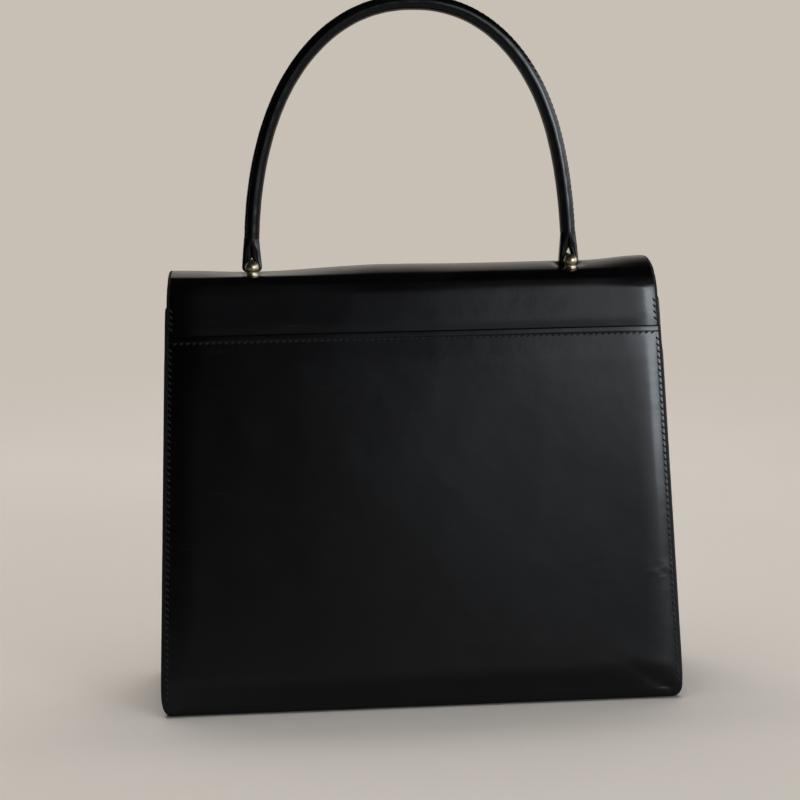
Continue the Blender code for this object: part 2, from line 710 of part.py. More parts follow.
clear_scene()
PARTS = collection("handbag")
CUTTERS = collection("handbag cutters", helper=True)
BLACK_LEATHER = material("black calf", (0.012, 0.012, 0.013), 0.28)
LINING_CLOTH = material("lining", (0.035, 0.03, 0.028), 0.85)
BOARD_GREY = material("board", (0.32, 0.29, 0.25), 0.9)
CORE_CORD = material("handle core", (0.55, 0.5, 0.42), 0.9)
PALE_GOLD = material("pale gold", (0.83, 0.68, 0.42), 0.18, 1.0)
PLATED_STEEL = material("plated steel", (0.62, 0.62, 0.6), 0.35, 1.0)

back_wall = Wall("back_wall", 1, HINGE_Y + PANEL_STEP)
front_wall = Wall("front_wall", -1, HINGE_Y - FLAP_STACK - FLAP_STANDOFF)
wrap = body_leather(back_wall, front_wall)
front_stiffener = body_boards_and_linings(back_wall, front_wall)
base_layers()
gussets(back_wall, front_wall)
handle_feet(*lid_layers())
handle()
flap_axis = flap(front_wall)
turn_lock(front_wall, flap_axis, wrap, front_stiffener)
bpy.context.view_layer.update()
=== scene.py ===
# %% [markdown]
# The real thing is a stiff black calf handbag with one round top handle. This lesson dresses its
# packed CAD model. The CAD already has every solid, so the frame is loaded first and each soft
# piece is then built again around it, in metres and in the same place, with the folds and
# stitches that a plain solid lacks.

# %% Load the frame
import math
import random

import bmesh
import bpy
import numpy as np
from mathutils import Matrix, Vector


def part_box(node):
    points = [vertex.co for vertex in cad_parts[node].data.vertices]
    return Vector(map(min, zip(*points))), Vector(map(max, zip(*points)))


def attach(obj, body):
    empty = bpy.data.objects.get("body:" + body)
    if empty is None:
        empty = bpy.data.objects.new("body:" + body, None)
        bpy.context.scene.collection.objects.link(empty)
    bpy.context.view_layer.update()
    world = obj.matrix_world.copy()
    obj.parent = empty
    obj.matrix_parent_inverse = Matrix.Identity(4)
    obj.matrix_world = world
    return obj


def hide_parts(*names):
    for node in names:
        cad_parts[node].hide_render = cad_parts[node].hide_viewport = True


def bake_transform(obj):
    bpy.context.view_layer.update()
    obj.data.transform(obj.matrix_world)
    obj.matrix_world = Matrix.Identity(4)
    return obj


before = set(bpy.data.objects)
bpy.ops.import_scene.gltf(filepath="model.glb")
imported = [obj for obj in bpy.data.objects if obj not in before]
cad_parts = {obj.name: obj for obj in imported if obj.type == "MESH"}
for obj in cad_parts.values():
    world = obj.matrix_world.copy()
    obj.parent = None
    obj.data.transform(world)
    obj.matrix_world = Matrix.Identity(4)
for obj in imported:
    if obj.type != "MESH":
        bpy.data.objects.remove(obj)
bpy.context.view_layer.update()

MM = 0.001
SIDES = ((1, "left"), (-1, "right"))
bpy.context.scene.view_settings.view_transform = "Standard"

# %% [markdown]
# The photographer stood behind the bag, a little above it and to its left. A camera could be
# placed by hand until it looks right. Here it was worked out from known points of the bag instead
# and is given as a place and three angles, because then the sizes in the picture and in the model
# agree.

# %% Camera
CAMERA_PLACE = Vector((0.0738, 0.8987, 0.2761))
YAW, PITCH, ROLL = (math.radians(a) for a in (-4.27, 8.102, 0.996))
facing = Matrix(((-1, 0, 0), (0, 0, 1), (0, 1, 0))) @ Matrix.Rotation(YAW, 3, "Z").transposed()
camera_axes = Matrix.Rotation(ROLL, 3, "Z") @ Matrix.Rotation(PITCH, 3, "X") @ facing
camera_data = bpy.data.cameras.new("camera")
camera_data.sensor_width = 36
camera_data.lens = 81
camera = bpy.data.objects.new("camera", camera_data)
camera.matrix_world = Matrix.Translation(CAMERA_PLACE) @ camera_axes.transposed().to_4x4()
bpy.context.scene.collection.objects.link(camera)
bpy.context.scene.camera = camera
print("camera is", round(CAMERA_PLACE.length, 3), "m from the middle of the base")

# %% [markdown]
# A material in Blender is a graph of nodes. Typing the maths of such a graph as an ordinary
# expression is easier to read than a long list of links, so one small class wraps a socket and
# adds a Math node for each operator. Colours and vectors have their own calls, because a Math
# node turns a colour grey.


# %% Shader wires
class Wire:
    """A socket that can be added, subtracted and multiplied like a number."""

    def __init__(self, graph, socket):
        self.graph = graph
        self.socket = socket

    def math(self, operation, first, second):
        return self.graph.node("ShaderNodeMath", {"operation": operation}, {0: first, 1: second})

    def __add__(self, other):
        return self.math("ADD", self, other)

    def __sub__(self, other):
        return self.math("SUBTRACT", self, other)

    def __rsub__(self, other):
        return self.math("SUBTRACT", other, self)

    def __mul__(self, other):
        return self.math("MULTIPLY", self, other)

    __radd__ = __add__
    __rmul__ = __mul__

    def step(self, start, end):
        """0 at start, 1 at end and a smooth climb between them. End may be below start."""
        settings = {"interpolation_type": "SMOOTHSTEP"}
        return self.graph.node("ShaderNodeMapRange", settings, {0: self, 1: start, 2: end})


print("a wire takes +, - and *, also after a plain number")

# %% [markdown]
# A material and the room around the bag are both trees of nodes, so both are written with the same
# few calls. One call makes any node: it gets the node's kind, its settings and what goes into it.


# %% Node graphs
class Graph:
    """A tree of nodes, of a material or of the world, and the calls that add to it."""

    def __init__(self, tree):
        self.tree = tree

    def node(self, kind, settings, inputs, output=0):
        made = self.tree.nodes.new(kind)
        for setting, value in settings.items():
            setattr(made, setting, value)
        for key, value in inputs.items():
            self.connect(made.inputs[key], value)
        return Wire(self, made.outputs[output])

    def connect(self, socket, value):
        if isinstance(value, Wire):
            self.tree.links.new(value.socket, socket)
        else:
            socket.default_value = value

    def mix(self, share, first, second):
        inputs = {0: share, 6: first, 7: second}
        return self.node("ShaderNodeMix", {"data_type": "RGBA"}, inputs, 2)

    def part(self, vector, axis):
        return self.node("ShaderNodeSeparateXYZ", {}, {0: vector}, axis)


print("calls of a graph:", [name for name in vars(Graph) if not name.startswith("_")])

# %% [markdown]
# Every finish of the bag is one material with a Principled shader. Its patterns are laid out in
# the object's own place in millimetres, because then a pore or a thread can be given its real
# size. Image textures could do the same, but they would need unwrapped pieces.


# %% Finish maker
class Finish(Graph):
    """One material: its Principled shader, and the patterns that feed it."""

    def __init__(self, name, colour, roughness, metallic=0.0, **fixed):
        self.material = bpy.data.materials.new(name)
        self.material.use_nodes = True
        self.material.diffuse_color = (*colour, 1.0)
        super().__init__(self.material.node_tree)
        self.shader = self.tree.nodes["Principled BSDF"]
        self.feed("Base Color", (*colour, 1.0))
        self.feed("Roughness", roughness)
        self.feed("Metallic", metallic)
        for socket, value in fixed.items():
            self.feed(socket.replace("_", " ").title().replace("Ior", "IOR"), value)
        self.place = self.node("ShaderNodeTexCoord", {}, {}, "Object")

    def feed(self, socket, value):
        self.connect(self.shader.inputs[socket], value)

    def surface(self, normal, roughness, colour):
        """Feeds what varies over the surface, and gives back the material."""
        self.feed("Normal", normal)
        self.feed("Roughness", roughness)
        self.feed("Base Color", colour)
        return self.material

    def stretch(self, scale):
        """The object's place in millimetres, scaled along each axis."""
        inputs = {0: self.place, 1: tuple(s / MM for s in scale)}
        return self.node("ShaderNodeVectorMath", {"operation": "MULTIPLY"}, inputs)

    def noise(self, size, detail=3.0, roughness=0.5, scale=(1, 1, 1), distortion=0.0):
        """Soft noise with patches about that many millimetres wide."""
        inputs = {
            "Vector": self.stretch(scale), "Scale": 1 / size, "Detail": detail,
            "Roughness": roughness, "Distortion": distortion,
        }
        return self.node("ShaderNodeTexNoise", {}, inputs)

    def cells(self, size, feature="F1"):
        """The distance to the middle of each cell, the cells about that many millimetres wide."""
        inputs = {"Vector": self.stretch((1, 1, 1)), "Scale": 1 / size}
        return self.node("ShaderNodeTexVoronoi", {"feature": feature}, inputs, "Distance")

    def ribs(self, scale, distortion, detail):
        """Slanting bands, as in a twill or a twisted cord."""
        inputs = {
            "Vector": self.stretch((1, 1, 1)), "Scale": scale,
            "Distortion": distortion, "Detail": detail,
        }
        settings = {"wave_type": "BANDS", "bands_direction": "DIAGONAL"}
        return self.node("ShaderNodeTexWave", settings, inputs)

    def bump(self, height, depth, under=None):
        """Raises the surface by height times depth millimetres, on top of an earlier bump."""
        inputs = {"Height": height, "Distance": depth * MM, "Strength": 1.0}
        if under is not None:
            inputs["Normal"] = under
        return self.node("ShaderNodeBump", {}, inputs)


print("patterns for a finish: noise, cells, ribs and bump")

# %% [markdown]
# Box calf is a smooth, glazed leather: nearly black, with a fine even grain, tiny pores and faint
# cloudy patches where hands have rubbed the glaze. A single noise would look like plastic. Layers
# of different sizes are stacked instead: the grain cells, the pores, slow waves, and clouds and
# long hairline scratches that only change the gloss. The cut edges are sealed with a thick dull
# paint that dries in small runs.


# %% Leather finish and edge paint
def grained_leather(name, colour, roughness, grain=1.0, waves=1.0, gloss=0.3):
    calf = Finish(name, colour, roughness, coat_weight=gloss, coat_roughness=0.13, ior=1.5)
    cells = calf.cells(0.62, "SMOOTH_F1")
    fine = calf.noise(0.28, 2.0, 0.6)
    pores = calf.cells(1.15).step(0.02, 0.16)
    slow = calf.noise(26.0, 3.0, 0.45)
    cloud = calf.noise(38.0, 4.0, 0.55, distortion=0.6)
    scratch = calf.noise(3.2, 4.0, 0.6, scale=(0.12, 0.12, 1.6)).step(0.57, 0.72)
    skin = calf.bump(cells * 0.7 + fine * 0.3, 0.020 * grain)
    skin = calf.bump(pores, 0.010 * grain, skin)
    skin = calf.bump(slow, 0.22 * waves, skin)
    rubbed = (cloud - 0.5) * 0.12 + (fine - 0.5) * 0.05 + scratch * 0.05
    light = tuple(c * 1.9 for c in colour)
    tone = calf.mix(cloud.step(0.35, 0.75), (*colour, 1.0), (*light, 1.0))
    # painted shade: the pores' pits are painted darker than the leather around them
    tone = calf.mix(pores, (0.0005, 0.0005, 0.0005, 1.0), tone)
    return calf.surface(skin, rubbed + roughness, tone)


def edge_paint():
    paint = Finish("black_edge_paint", (0.011, 0.0105, 0.0105), 0.55, specular_ior_level=0.25)
    runs = paint.noise(0.9, 3.0, 0.6)
    tone = paint.mix(runs, (0.006, 0.006, 0.006, 1), (0.017, 0.016, 0.016, 1))
    return paint.surface(paint.bump(runs, 0.05), runs * 0.2 + 0.45, tone)


CALF = grained_leather("black_calf", (0.0008, 0.0008, 0.0009), 0.21)
ROLLED_CALF = grained_leather("rolled_black_calf", (0.0012, 0.0012, 0.0013), 0.22, 0.8, 0.4, 0.4)
GUSSET_CALF = grained_leather("gusset_black_calf", (0.0018, 0.0018, 0.0019), 0.36, 1.3, 1.6, 0.15)
EDGE_PAINT = edge_paint()
print("leather finishes:", [m.name for m in (CALF, ROLLED_CALF, GUSSET_CALF, EDGE_PAINT)])

# %% [markdown]
# The sewn and woven finishes follow the same idea at their own scale: waxed thread is two twisted
# strands, and the lining is a fine twill whose ribs run slantwise. Both scatter a little light
# from their loose fibres, which a sheen layer gives at no cost.


# %% Thread and lining
def waxed_thread():
    thread = Finish(
        "waxed_black_thread", (0.006, 0.006, 0.0065), 0.6, sheen_weight=0.15, sheen_roughness=0.4
    )
    strands = thread.noise(0.16, 2.0, 0.5, scale=(1, 1, 0.35))
    tone = thread.mix(strands, (0.003, 0.003, 0.003, 1), (0.012, 0.012, 0.013, 1))
    return thread.surface(thread.bump(strands, 0.05), strands * 0.2 + 0.5, tone)


def twill_lining():
    cloth = Finish(
        "dark_twill_lining", (0.03, 0.026, 0.024), 0.72, sheen_weight=0.25, sheen_roughness=0.5
    )
    slub = cloth.noise(0.5, 3.0, 0.6, scale=(1, 1, 0.3))
    fade = cloth.noise(30.0, 3.0, 0.5)
    weave = cloth.ribs(0.62, 0.5, 1.0) * 0.7 + slub * 0.3
    dark, light = (0.018, 0.0155, 0.014, 1), (0.052, 0.045, 0.041, 1)
    tone = cloth.mix(weave * 0.7 + fade * 0.3, dark, light)
    return cloth.surface(cloth.bump(weave, 0.06, cloth.bump(fade, 0.5)), slub * 0.2 + 0.6, tone)


THREAD = waxed_thread()
TWILL = twill_lining()
print("sewn finishes:", THREAD.name, "and", TWILL.name)

# %% [markdown]
# Inside the bag, fibre board is felted and speckled, and the handle's core is a loosely laid
# cotton cord. The gold plating is a polished metal that is never quite even: a haze and fine
# hairlines change its gloss, which is what makes a small ball look like metal and not like paint.


# %% Board, cord and metals
def fibre_board():
    board = Finish("bonded_fibre_board", (0.3, 0.27, 0.23), 0.85)
    fibre = board.noise(0.8, 4.0, 0.7, scale=(0.4, 1, 1))
    fleck = board.cells(2.6).step(0.05, 0.4)
    ground = board.mix(fibre, (0.2, 0.18, 0.15, 1), (0.4, 0.36, 0.31, 1))
    tone = board.mix(fleck, (0.12, 0.1, 0.09, 1), ground)
    return board.surface(board.bump(fibre, 0.08), fibre * 0.2 + 0.72, tone)


def cotton_cord():
    cord = Finish(
        "cotton_piping_cord", (0.55, 0.5, 0.42), 0.88, sheen_weight=0.2, sheen_roughness=0.6
    )
    lay = cord.ribs(0.22, 1.2, 2.0)
    tone = cord.mix(lay, (0.42, 0.37, 0.29, 1), (0.66, 0.6, 0.5, 1))
    return cord.surface(cord.bump(lay, 0.2), lay * 0.1 + 0.8, tone)


def plating(name, colour, roughness, worn):
    metal = Finish(name, colour, roughness, 1.0)
    haze = metal.noise(2.4, 3.0, 0.5)
    hair = metal.noise(0.7, 3.0, 0.6, scale=(0.15, 1, 1))
    gloss = haze * 0.10 + hair * 0.06 + (roughness - 0.08)
    tone = metal.mix(haze.step(0.35, 0.8), (*colour, 1), (*worn, 1))
    return metal.surface(metal.bump(haze, 0.012), gloss, tone)


BOARD = fibre_board()
CORD = cotton_cord()
GOLD = plating("pale_gold_plating", (0.90, 0.76, 0.52), 0.36, (0.84, 0.68, 0.44))
STEEL = plating("nickel_plated_steel", (0.60, 0.60, 0.59), 0.33, (0.50, 0.50, 0.50))
print("hard finishes:", [m.name for m in (BOARD, CORD, GOLD, STEEL)])

# %% [markdown]
# The stiffening boards of the walls and the lid, and the steel parts under the leather, keep
# their CAD shape: they are cut and stamped flat on the real bag too. They are hidden while the
# bag is closed, but they show where a layer swings open, so they get the right finish.

# %% Finish the CAD nodes that stay
STUD_NUTS = [f"stud_nut_{word}_{place}" for _, word in SIDES for place in ("front", "rear")]
STAYING = (
    (BOARD, ("back_board", "yoke_board", "front_board", "base_board", "lid_board")),
    (STEEL, ("lock_backing_plate", "spindle_clip", "backing_plate_left", "backing_plate_right")),
    (STEEL, STUD_NUTS),
)
for finish, names in STAYING:
    for name in names:
        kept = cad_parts[name]
        kept.data.materials.clear()
        kept.data.materials.append(finish)
print("CAD nodes kept:", sum(len(names) for _, names in STAYING))

# %% [markdown]
# The sizes below are the bag's own, repeated from its CAD source, so that both agree. The outline
# narrows a little to the top, and its worn lower corners are rounded more than in the CAD, as they
# are on the real bag. Two soft curves, a climb and a bell, shape most of the folds later.

# %% Sizes of the bag
BASE_WIDTH, TOP_WIDTH, BODY_HEIGHT = 260 * MM, 243 * MM, 214.5 * MM
BASE_DEPTH, LID_DEPTH = 88 * MM, 36 * MM
SHOULDER, FOLD = 6.5 * MM, 4 * MM
LEATHER, GUSSET_LEATHER, LINING, GAP = 1.6 * MM, 1.3 * MM, 0.8 * MM, 0.3 * MM
SEAM_Z, YOKE_LOW_Z, MOUTH_Z, HINGE_Z = 185 * MM, 175 * MM, 205.9 * MM, 208 * MM
GUSSET_TOP_Z = 199.5 * MM
YOKE_DEPTH = LEATHER + GAP
BOARD_INSET = 12 * MM
FLAP_LENGTH, FLAP_CORNER, FLAP_INSET = 100 * MM, 14 * MM, 0.5 * MM
FLAP_BOARD, FLAP_ROOM = 1 * MM, 2.5 * MM
FLAP_STACK = LEATHER + GAP + FLAP_BOARD + GAP + LINING
PITCH_STITCH = 3.1 * MM
CORNER_HEIGHT, CORNER_PULL = 8.5 * MM, 6 * MM


def smooth(t):
    """A soft climb from 0 to 1."""
    t = np.clip(t, 0.0, 1.0)
    return t * t * (3 - 2 * t)


def hump(t, middle, width):
    """A bell that is 1 at its middle."""
    return np.exp(-(((t - middle) / width) ** 2))


def half_width(z):
    return (BASE_WIDTH + (TOP_WIDTH - BASE_WIDTH) * z / BODY_HEIGHT) / 2


def corner_pull(z):
    """How far the worn lower corners are rounded in."""
    down = np.clip(1 - z / CORNER_HEIGHT, 0, 1)
    return CORNER_PULL * (1 - np.sqrt(1 - down ** 2))


def panel_half(z):
    """The panels' leather ends a little inside the gussets' edges, and more so at the crest."""
    at_crest = smooth((z - 202 * MM) / (12.5 * MM))
    return half_width(z) - 0.7 * MM - 0.3 * MM * at_crest - corner_pull(z)


print("the bag narrows by", round(2 * (half_width(0) - half_width(BODY_HEIGHT)) / MM), "mm")

# %% [markdown]
# The front and the back lean towards each other up to the crest. The trigonometry of a leaning
# layer could be written out at each piece. A small class holds it once instead, so a point in a
# wall is given by its height and by its depth into the bag.


# %% Leaning walls
class Wall:
    """A leaning wall of the bag. Points are (y, z) pairs, and a depth runs into the bag."""

    def __init__(self, side, hinge_distance):
        self.side = side
        self.lean = math.atan((BASE_DEPTH / 2 - hinge_distance) / HINGE_Z)

    def point(self, z, depth=0.0):
        outer = BASE_DEPTH / 2 - z * math.tan(self.lean)
        return (self.side * (outer - depth / math.cos(self.lean)), z)

    def normal(self):
        return Vector((0, self.side * math.cos(self.lean), math.sin(self.lean)))

    def up(self):
        return Vector((0, -self.side * math.sin(self.lean), math.cos(self.lean)))

    def fold(self, steps=10):
        """The round fold at the wall's foot, from the base up."""
        centre = BASE_DEPTH / 2 - FOLD * (1 + math.sin(self.lean)) / math.cos(self.lean)
        low = -math.pi / 2
        turn = [low + (self.lean - low) * i / steps for i in range(steps + 1)]
        return [
            (self.side * (centre + FOLD * math.cos(a)), FOLD + FOLD * math.sin(a)) for a in turn
        ]


BACK = Wall(1, LID_DEPTH / 2 + YOKE_DEPTH)
FRONT = Wall(-1, LID_DEPTH / 2 - FLAP_STACK - FLAP_ROOM)
print("walls lean", [round(math.degrees(wall.lean), 2) for wall in (BACK, FRONT)], "degrees")

# %% [markdown]
# Every solid in this lesson is a closed skin of points and faces. A modifier stack could do it,
# but plain points keep each piece exactly where its CAD solid is. The helpers below finish such a
# skin: they turn its faces outwards, shade it smooth but for its sharp edges, and tell the frame
# which body it rides on and which CAD solids it stands for.


# %% Helpers for closed skins
def link_mesh(name, mesh):
    """An object that shows the mesh."""
    made = bpy.data.objects.new(name, mesh)
    bpy.context.scene.collection.objects.link(made)
    return made


def close_up(name, mesh, sharp_angle=None, weld=0.0):
    """Turns a closed mesh's faces outwards, shades it smooth and makes it an object."""
    bm = bmesh.new()
    bm.from_mesh(mesh)
    if weld:
        bmesh.ops.remove_doubles(bm, verts=bm.verts, dist=weld)
    bmesh.ops.recalc_face_normals(bm, faces=bm.faces)
    bm.to_mesh(mesh)
    bm.free()
    mesh.shade_smooth()
    if sharp_angle:
        mesh.set_sharp_from_angle(angle=math.radians(sharp_angle))
    return link_mesh(name, mesh)


def dress(piece, body, slot_name, *nodes):
    """The piece rides on a body and stands for CAD nodes, which it hides. slot_name is not used."""
    if body:
        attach(piece, body)
    if nodes:
        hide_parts(*nodes)
    return piece


def bake(piece):
    """Applies a piece's modifiers, so that its mesh is final."""
    graph = bpy.context.evaluated_depsgraph_get()
    mesh = bpy.data.meshes.new_from_object(piece.evaluated_get(graph))
    piece.modifiers.clear()
    piece.data = mesh
    return piece


print("ways to finish a skin:", [step.__name__ for step in (close_up, bake, dress)])

# %% [markdown]
# A strip of leather has a face, a back and a painted cut edge all round. A Solidify modifier could
# thicken a single surface, but the face swells and folds more than the back does. So both are
# given as grids of points and joined along the rim, where the paint laps a little onto the face.

# %% Skin over two grids
PAINTED_STEPS = 7


def grid_mesh(name, outer, inner, finish, rim=None):
    """A closed piece from an outer and an inner grid of points that meet along a rim."""
    rows, columns = outer.shape[:2]
    points = np.concatenate([outer.reshape(-1, 3), inner.reshape(-1, 3)])
    top = np.arange(rows * columns).reshape(rows, columns)
    under = top + rows * columns
    quads = np.stack([top[:-1, :-1], top[:-1, 1:], top[1:, 1:], top[1:, :-1]], -1)
    back = np.stack([under[:-1, :-1], under[1:, :-1], under[1:, 1:], under[:-1, 1:]], -1)
    quads, back = quads.reshape(-1, 4), back.reshape(-1, 4)
    ring = np.concatenate([top[0, :-1], top[:-1, -1], top[-1, :0:-1], top[:0:-1, 0]])
    after = np.roll(ring, -1)
    sides = np.stack([after, ring, ring + rows * columns, after + rows * columns], -1)
    faces = np.concatenate([quads, back, sides])
    mesh = bpy.data.meshes.new(name)
    mesh.from_pydata(points.tolist(), [], faces.tolist())
    mesh.materials.append(finish)
    if rim:  # the cut edge, and the paint that laps onto the outer face at both sides
        mesh.materials.append(rim)
        marks = np.zeros(len(faces), np.int32)
        marks[len(quads) + len(back):] = 1
        face = marks[:len(quads)].reshape(rows - 1, columns - 1)
        face[:, :PAINTED_STEPS] = face[:, -PAINTED_STEPS:] = 1
        mesh.polygons.foreach_set("material_index", marks)
    return close_up(name, mesh, 50)


print("the edge paint laps over", PAINTED_STEPS, "steps of the face")

# %% [markdown]
# Every flat piece of leather or cloth here is a ribbon: a line drawn from the side and widened
# across the bag. The drawn line has corners, so it is laid out again in dense even steps, with an
# averaged direction out of the leather, and bends softly. The rounded cut edges need fine rows of
# faces, so the rows stand close together at the ends and further apart between them.

# %% Lines and rows of a ribbon
EDGE_STEPS = MM * np.array([
    0, 0.03, 0.12, 0.27, 0.45, 0.75, 1.1, 1.45, 1.7, 1.95, 2.2, 2.45, 2.7, 3.0, 3.5, 4.2,
    5.2, 6.5, 8, 10, 12.5, 15.5,
])
EDGE_ROUNDING = 0.45 * MM


def resample(points, spacing=0.4 * MM):
    """A side line as dense even points, with its outward normals and lengths."""
    points = np.array(points, float)
    steps = np.hypot(*np.diff(points, axis=0).T)
    along = np.concatenate([[0], np.cumsum(steps)])
    count = max(3, int(along[-1] / spacing) + 1)
    even = np.linspace(0, along[-1], count)
    line = np.stack([np.interp(even, along, points[:, i]) for i in (0, 1)], 1)
    tangent = np.gradient(line, even, axis=0)
    kernel = np.ones(5) / 5
    padded = np.pad(tangent, ((2, 2), (0, 0)), "edge")
    tangent = np.stack([np.convolve(padded[:, i], kernel, "valid") for i in (0, 1)], 1)
    tangent /= np.linalg.norm(tangent, axis=1)[:, None]
    return even, line, np.stack([tangent[:, 1], -tangent[:, 0]], 1)


def spread(length, spacing):
    """Places from 0 to length, close together near the ends and evenly spaced between."""
    head = [d for d in EDGE_STEPS if d < length / 2.2]
    tail = [length - d for d in reversed(head)]
    low, high = head[-1], tail[0]
    count = max(1, int(round((high - low) / spacing)))
    middle = [low + (high - low) * i / count for i in range(1, count)]
    return np.array(head + middle + tail)


print("ribbon edges have", len(EDGE_STEPS), "steps of fine detail")

# %% [markdown]
# The ribbon gets a real thickness and rounded cut edges. Cloth simulation could drape it, but
# boards hold this leather flat. Its small swells and creases are therefore written as a height
# over the ribbon, a function that each piece brings along.


# %% Ribbon maker
def ribbon(name, line, half, thickness, finish, relief=None, spacing=2.4 * MM, across=2.4 * MM,
           corner=0.0, square=(False, False), rim=None, inner_relief=1.0, way=1):
    """A sheet along a side line. relief(x, s, z, d) is how far its outer face stands proud: x is
    across the bag, s along the line, z the height and d the distance from the nearer side."""
    along, points, normals = resample(line)
    length = along[-1]
    s = spread(length, spacing)
    y, z = (np.interp(s, along, points[:, i]) for i in (0, 1))
    ny, nz = (np.interp(s, along, way * normals[:, i])[:, None] for i in (0, 1))

    # The half width at each row, drawn in where the end has round corners.
    full = half(z) if callable(half) else np.full_like(z, half)
    widths = full
    if corner:
        past = np.clip(s - (length - corner), 0, corner)
        widths = full - corner + np.sqrt(np.maximum(corner ** 2 - past ** 2, 0))
    widest = spread(2 * widths.max(), across) - widths.max()
    edge = widths.max() - np.abs(widest)
    share = widest / (widths.max() - EDGE_STEPS[-1])
    x = np.where(edge <= EDGE_STEPS[-1], np.sign(widest) * (widths[:, None] - edge),
                 share * (widths[:, None] - EDGE_STEPS[-1]))

    # The distance to the nearest cut edge, which rounds both faces off towards it.
    flat = 0 * x
    side_room = widths[:, None] - np.abs(x)
    low_room = np.where(square[0], 1.0, s)[:, None] + flat
    high_room = np.where(square[1], 1.0, length - s)[:, None] + flat
    room = np.minimum(np.minimum(side_room, low_room), high_room)
    if corner:
        out_x = np.abs(x) - (full[:, None] - corner)
        out_s = (s - (length - corner))[:, None] + flat
        rounded = corner - np.hypot(np.maximum(out_x, 0), np.maximum(out_s, 0))
        room = np.where((out_x > 0) & (out_s > 0), np.maximum(rounded, 0), room)
    r = min(EDGE_ROUNDING, thickness * 0.46)
    drop = r - np.sqrt(np.maximum(r ** 2 - (r - np.minimum(room, r)) ** 2, 0))

    lift = relief(x, s[:, None] + flat, z[:, None] + flat, side_room) if relief else flat
    outer, inner = (
        np.stack([x, y[:, None] + ny * depth, z[:, None] + nz * depth], -1)
        for depth in (lift - drop, lift * inner_relief - thickness + drop)
    )
    return grid_mesh(name, outer, inner, finish, rim)


print("cut edges are rounded by", round(EDGE_ROUNDING / MM, 2), "mm")

# %% [markdown]
# The body is one skin: back panel, base and front, folded at both bottom edges. On the back its
# upper edge is turned and stitched over the yoke, which leaves a little ridge, a sewn channel and
# a low step. The board inside stops 12 mm short of the sides, so the panel falls away there, and
# years on a table have put creases into the lower corners. Each crease is a narrow groove with a
# soft swelling beside it. Sculpting by hand could do this, but a short table is easier to correct.


# %% Creases
def crease(x, z, start, end, depth, width, fade, proud=0.6):
    """The height of one crease from start to end, all in mm, that fades out at both ends."""
    (x0, z0), (x1, z1) = start, end
    x, z = x / MM - x0, z / MM - z0
    run = math.hypot(x1 - x0, z1 - z0)
    ux, uz = (x1 - x0) / run, (z1 - z0) / run
    along = (x * ux + z * uz) / run
    aside = z * ux - x * uz
    ends = smooth(along / fade) * smooth((1 - along) / fade)
    swelling = hump(aside, width * 2.4, width * 2.2) + 0.5 * hump(aside, -width * 2.6, width * 2.2)
    return ends * depth * MM * (proud * swelling - hump(aside, 0, width))


def back_creases():
    """Start, end, depth, width and fade of each crease of the back panel, some with a swelling."""
    yield (-138, -4), (-97, 21), 0.7, 2.3, 0.4, 0.12
    yield (-128, 65), (-112, 61), 0.13, 0.4, 0.25
    yield (-125, 67.5), (-114, 65.5), 0.07, 0.4, 0.25
    for x, z in ((112, 7), (97, 10), (81, 6), (66, 9), (51, 7)):
        yield (x, z), (x - 11, z + 4), 0.3, 1.3, 0.5
    for i in range(7):
        high = 176 - 5.2 * i + 1.3 * math.sin(2.1 * i)
        inner = -112.5 + 3.0 * math.sin(1.7 * i + 0.4)
        yield (-120.5, high), (inner, high + 0.8 * math.sin(i)), 0.09, 0.5, 0.4


print("creases in the back panel:", len(list(back_creases())))

# %% [markdown]
# The body's relief adds up what the leather does. The crown is the swell of a panel over its
# board, and it falls away sooner near the seam, where the stitches pull. The seam has its turned
# edge, a ridge and the stitch channel. The front has the same swell but is pressed flat under the
# lock. All of it fades out at the folds, where the leather is stretched tight.

# %% Body leather
BACK_LENGTH = (SEAM_Z - FOLD * (1 + math.sin(BACK.lean))) / math.cos(BACK.lean)
SEAM_STITCH_DROP = 3.6 * MM
SIDE_STITCH_INSET = 2.2 * MM
LOCK_SEAT_Z = 132 * MM


def body_seam(s):
    """The turned edge at s = 0, the ridge below it and the channel that the stitches pull in."""
    edge = -0.16 * MM * np.exp(-np.abs(s) / (0.8 * MM))
    ridge = 0.07 * MM * hump(s, 2.2 * MM, 0.9 * MM)
    return edge + ridge - 0.1 * MM * hump(s, SEAM_STITCH_DROP, 0.7 * MM)


def body_swell(x, z):
    """Slow waves that no glued panel is free of."""
    swell = 0.16 * MM * np.sin(x / (31 * MM) + 0.9 * np.sin(z / (38 * MM)) + 0.6)
    return swell + 0.12 * MM * np.sin(z / (23 * MM) + 0.8 * np.sin(x / (27 * MM)) + 2.1)


def body_relief(x, s, z, d):
    back = smooth((BACK_LENGTH + 1 * MM - s) / (2 * MM))
    front = smooth((z - 12 * MM) / (8 * MM)) * (1 - back)
    foot = smooth((z - 3.5 * MM) / (15 * MM))
    pulled = np.exp(-s / (14 * MM))
    fall = np.clip(1 - d / ((14 + 8 * pulled) * MM), 0, 1) ** 2
    crown = 1.25 * MM - (1.75 + 0.5 * pulled) * MM * fall
    step = 0.5 * MM * smooth((s - 3 * MM) / (12 * MM)) * foot
    step = step * (0.4 + 0.6 * smooth(d / (8 * MM)))
    rows = -0.05 * MM * hump(d, SIDE_STITCH_INSET, 0.6 * MM) * smooth((s - 2 * MM) / (2 * MM))
    swell = body_swell(x, z)
    folds = sum(crease(x, z, *one) for one in back_creases())
    pressed = 1 - np.exp(-(x ** 2 + (z - LOCK_SEAT_Z) ** 2) / (24 * MM) ** 2)
    back_face = foot * (crown + swell) + body_seam(s) + step + folds
    front_face = foot * pressed * (0.36 * crown + swell)
    return back * (back_face + rows) + front * (front_face + rows)


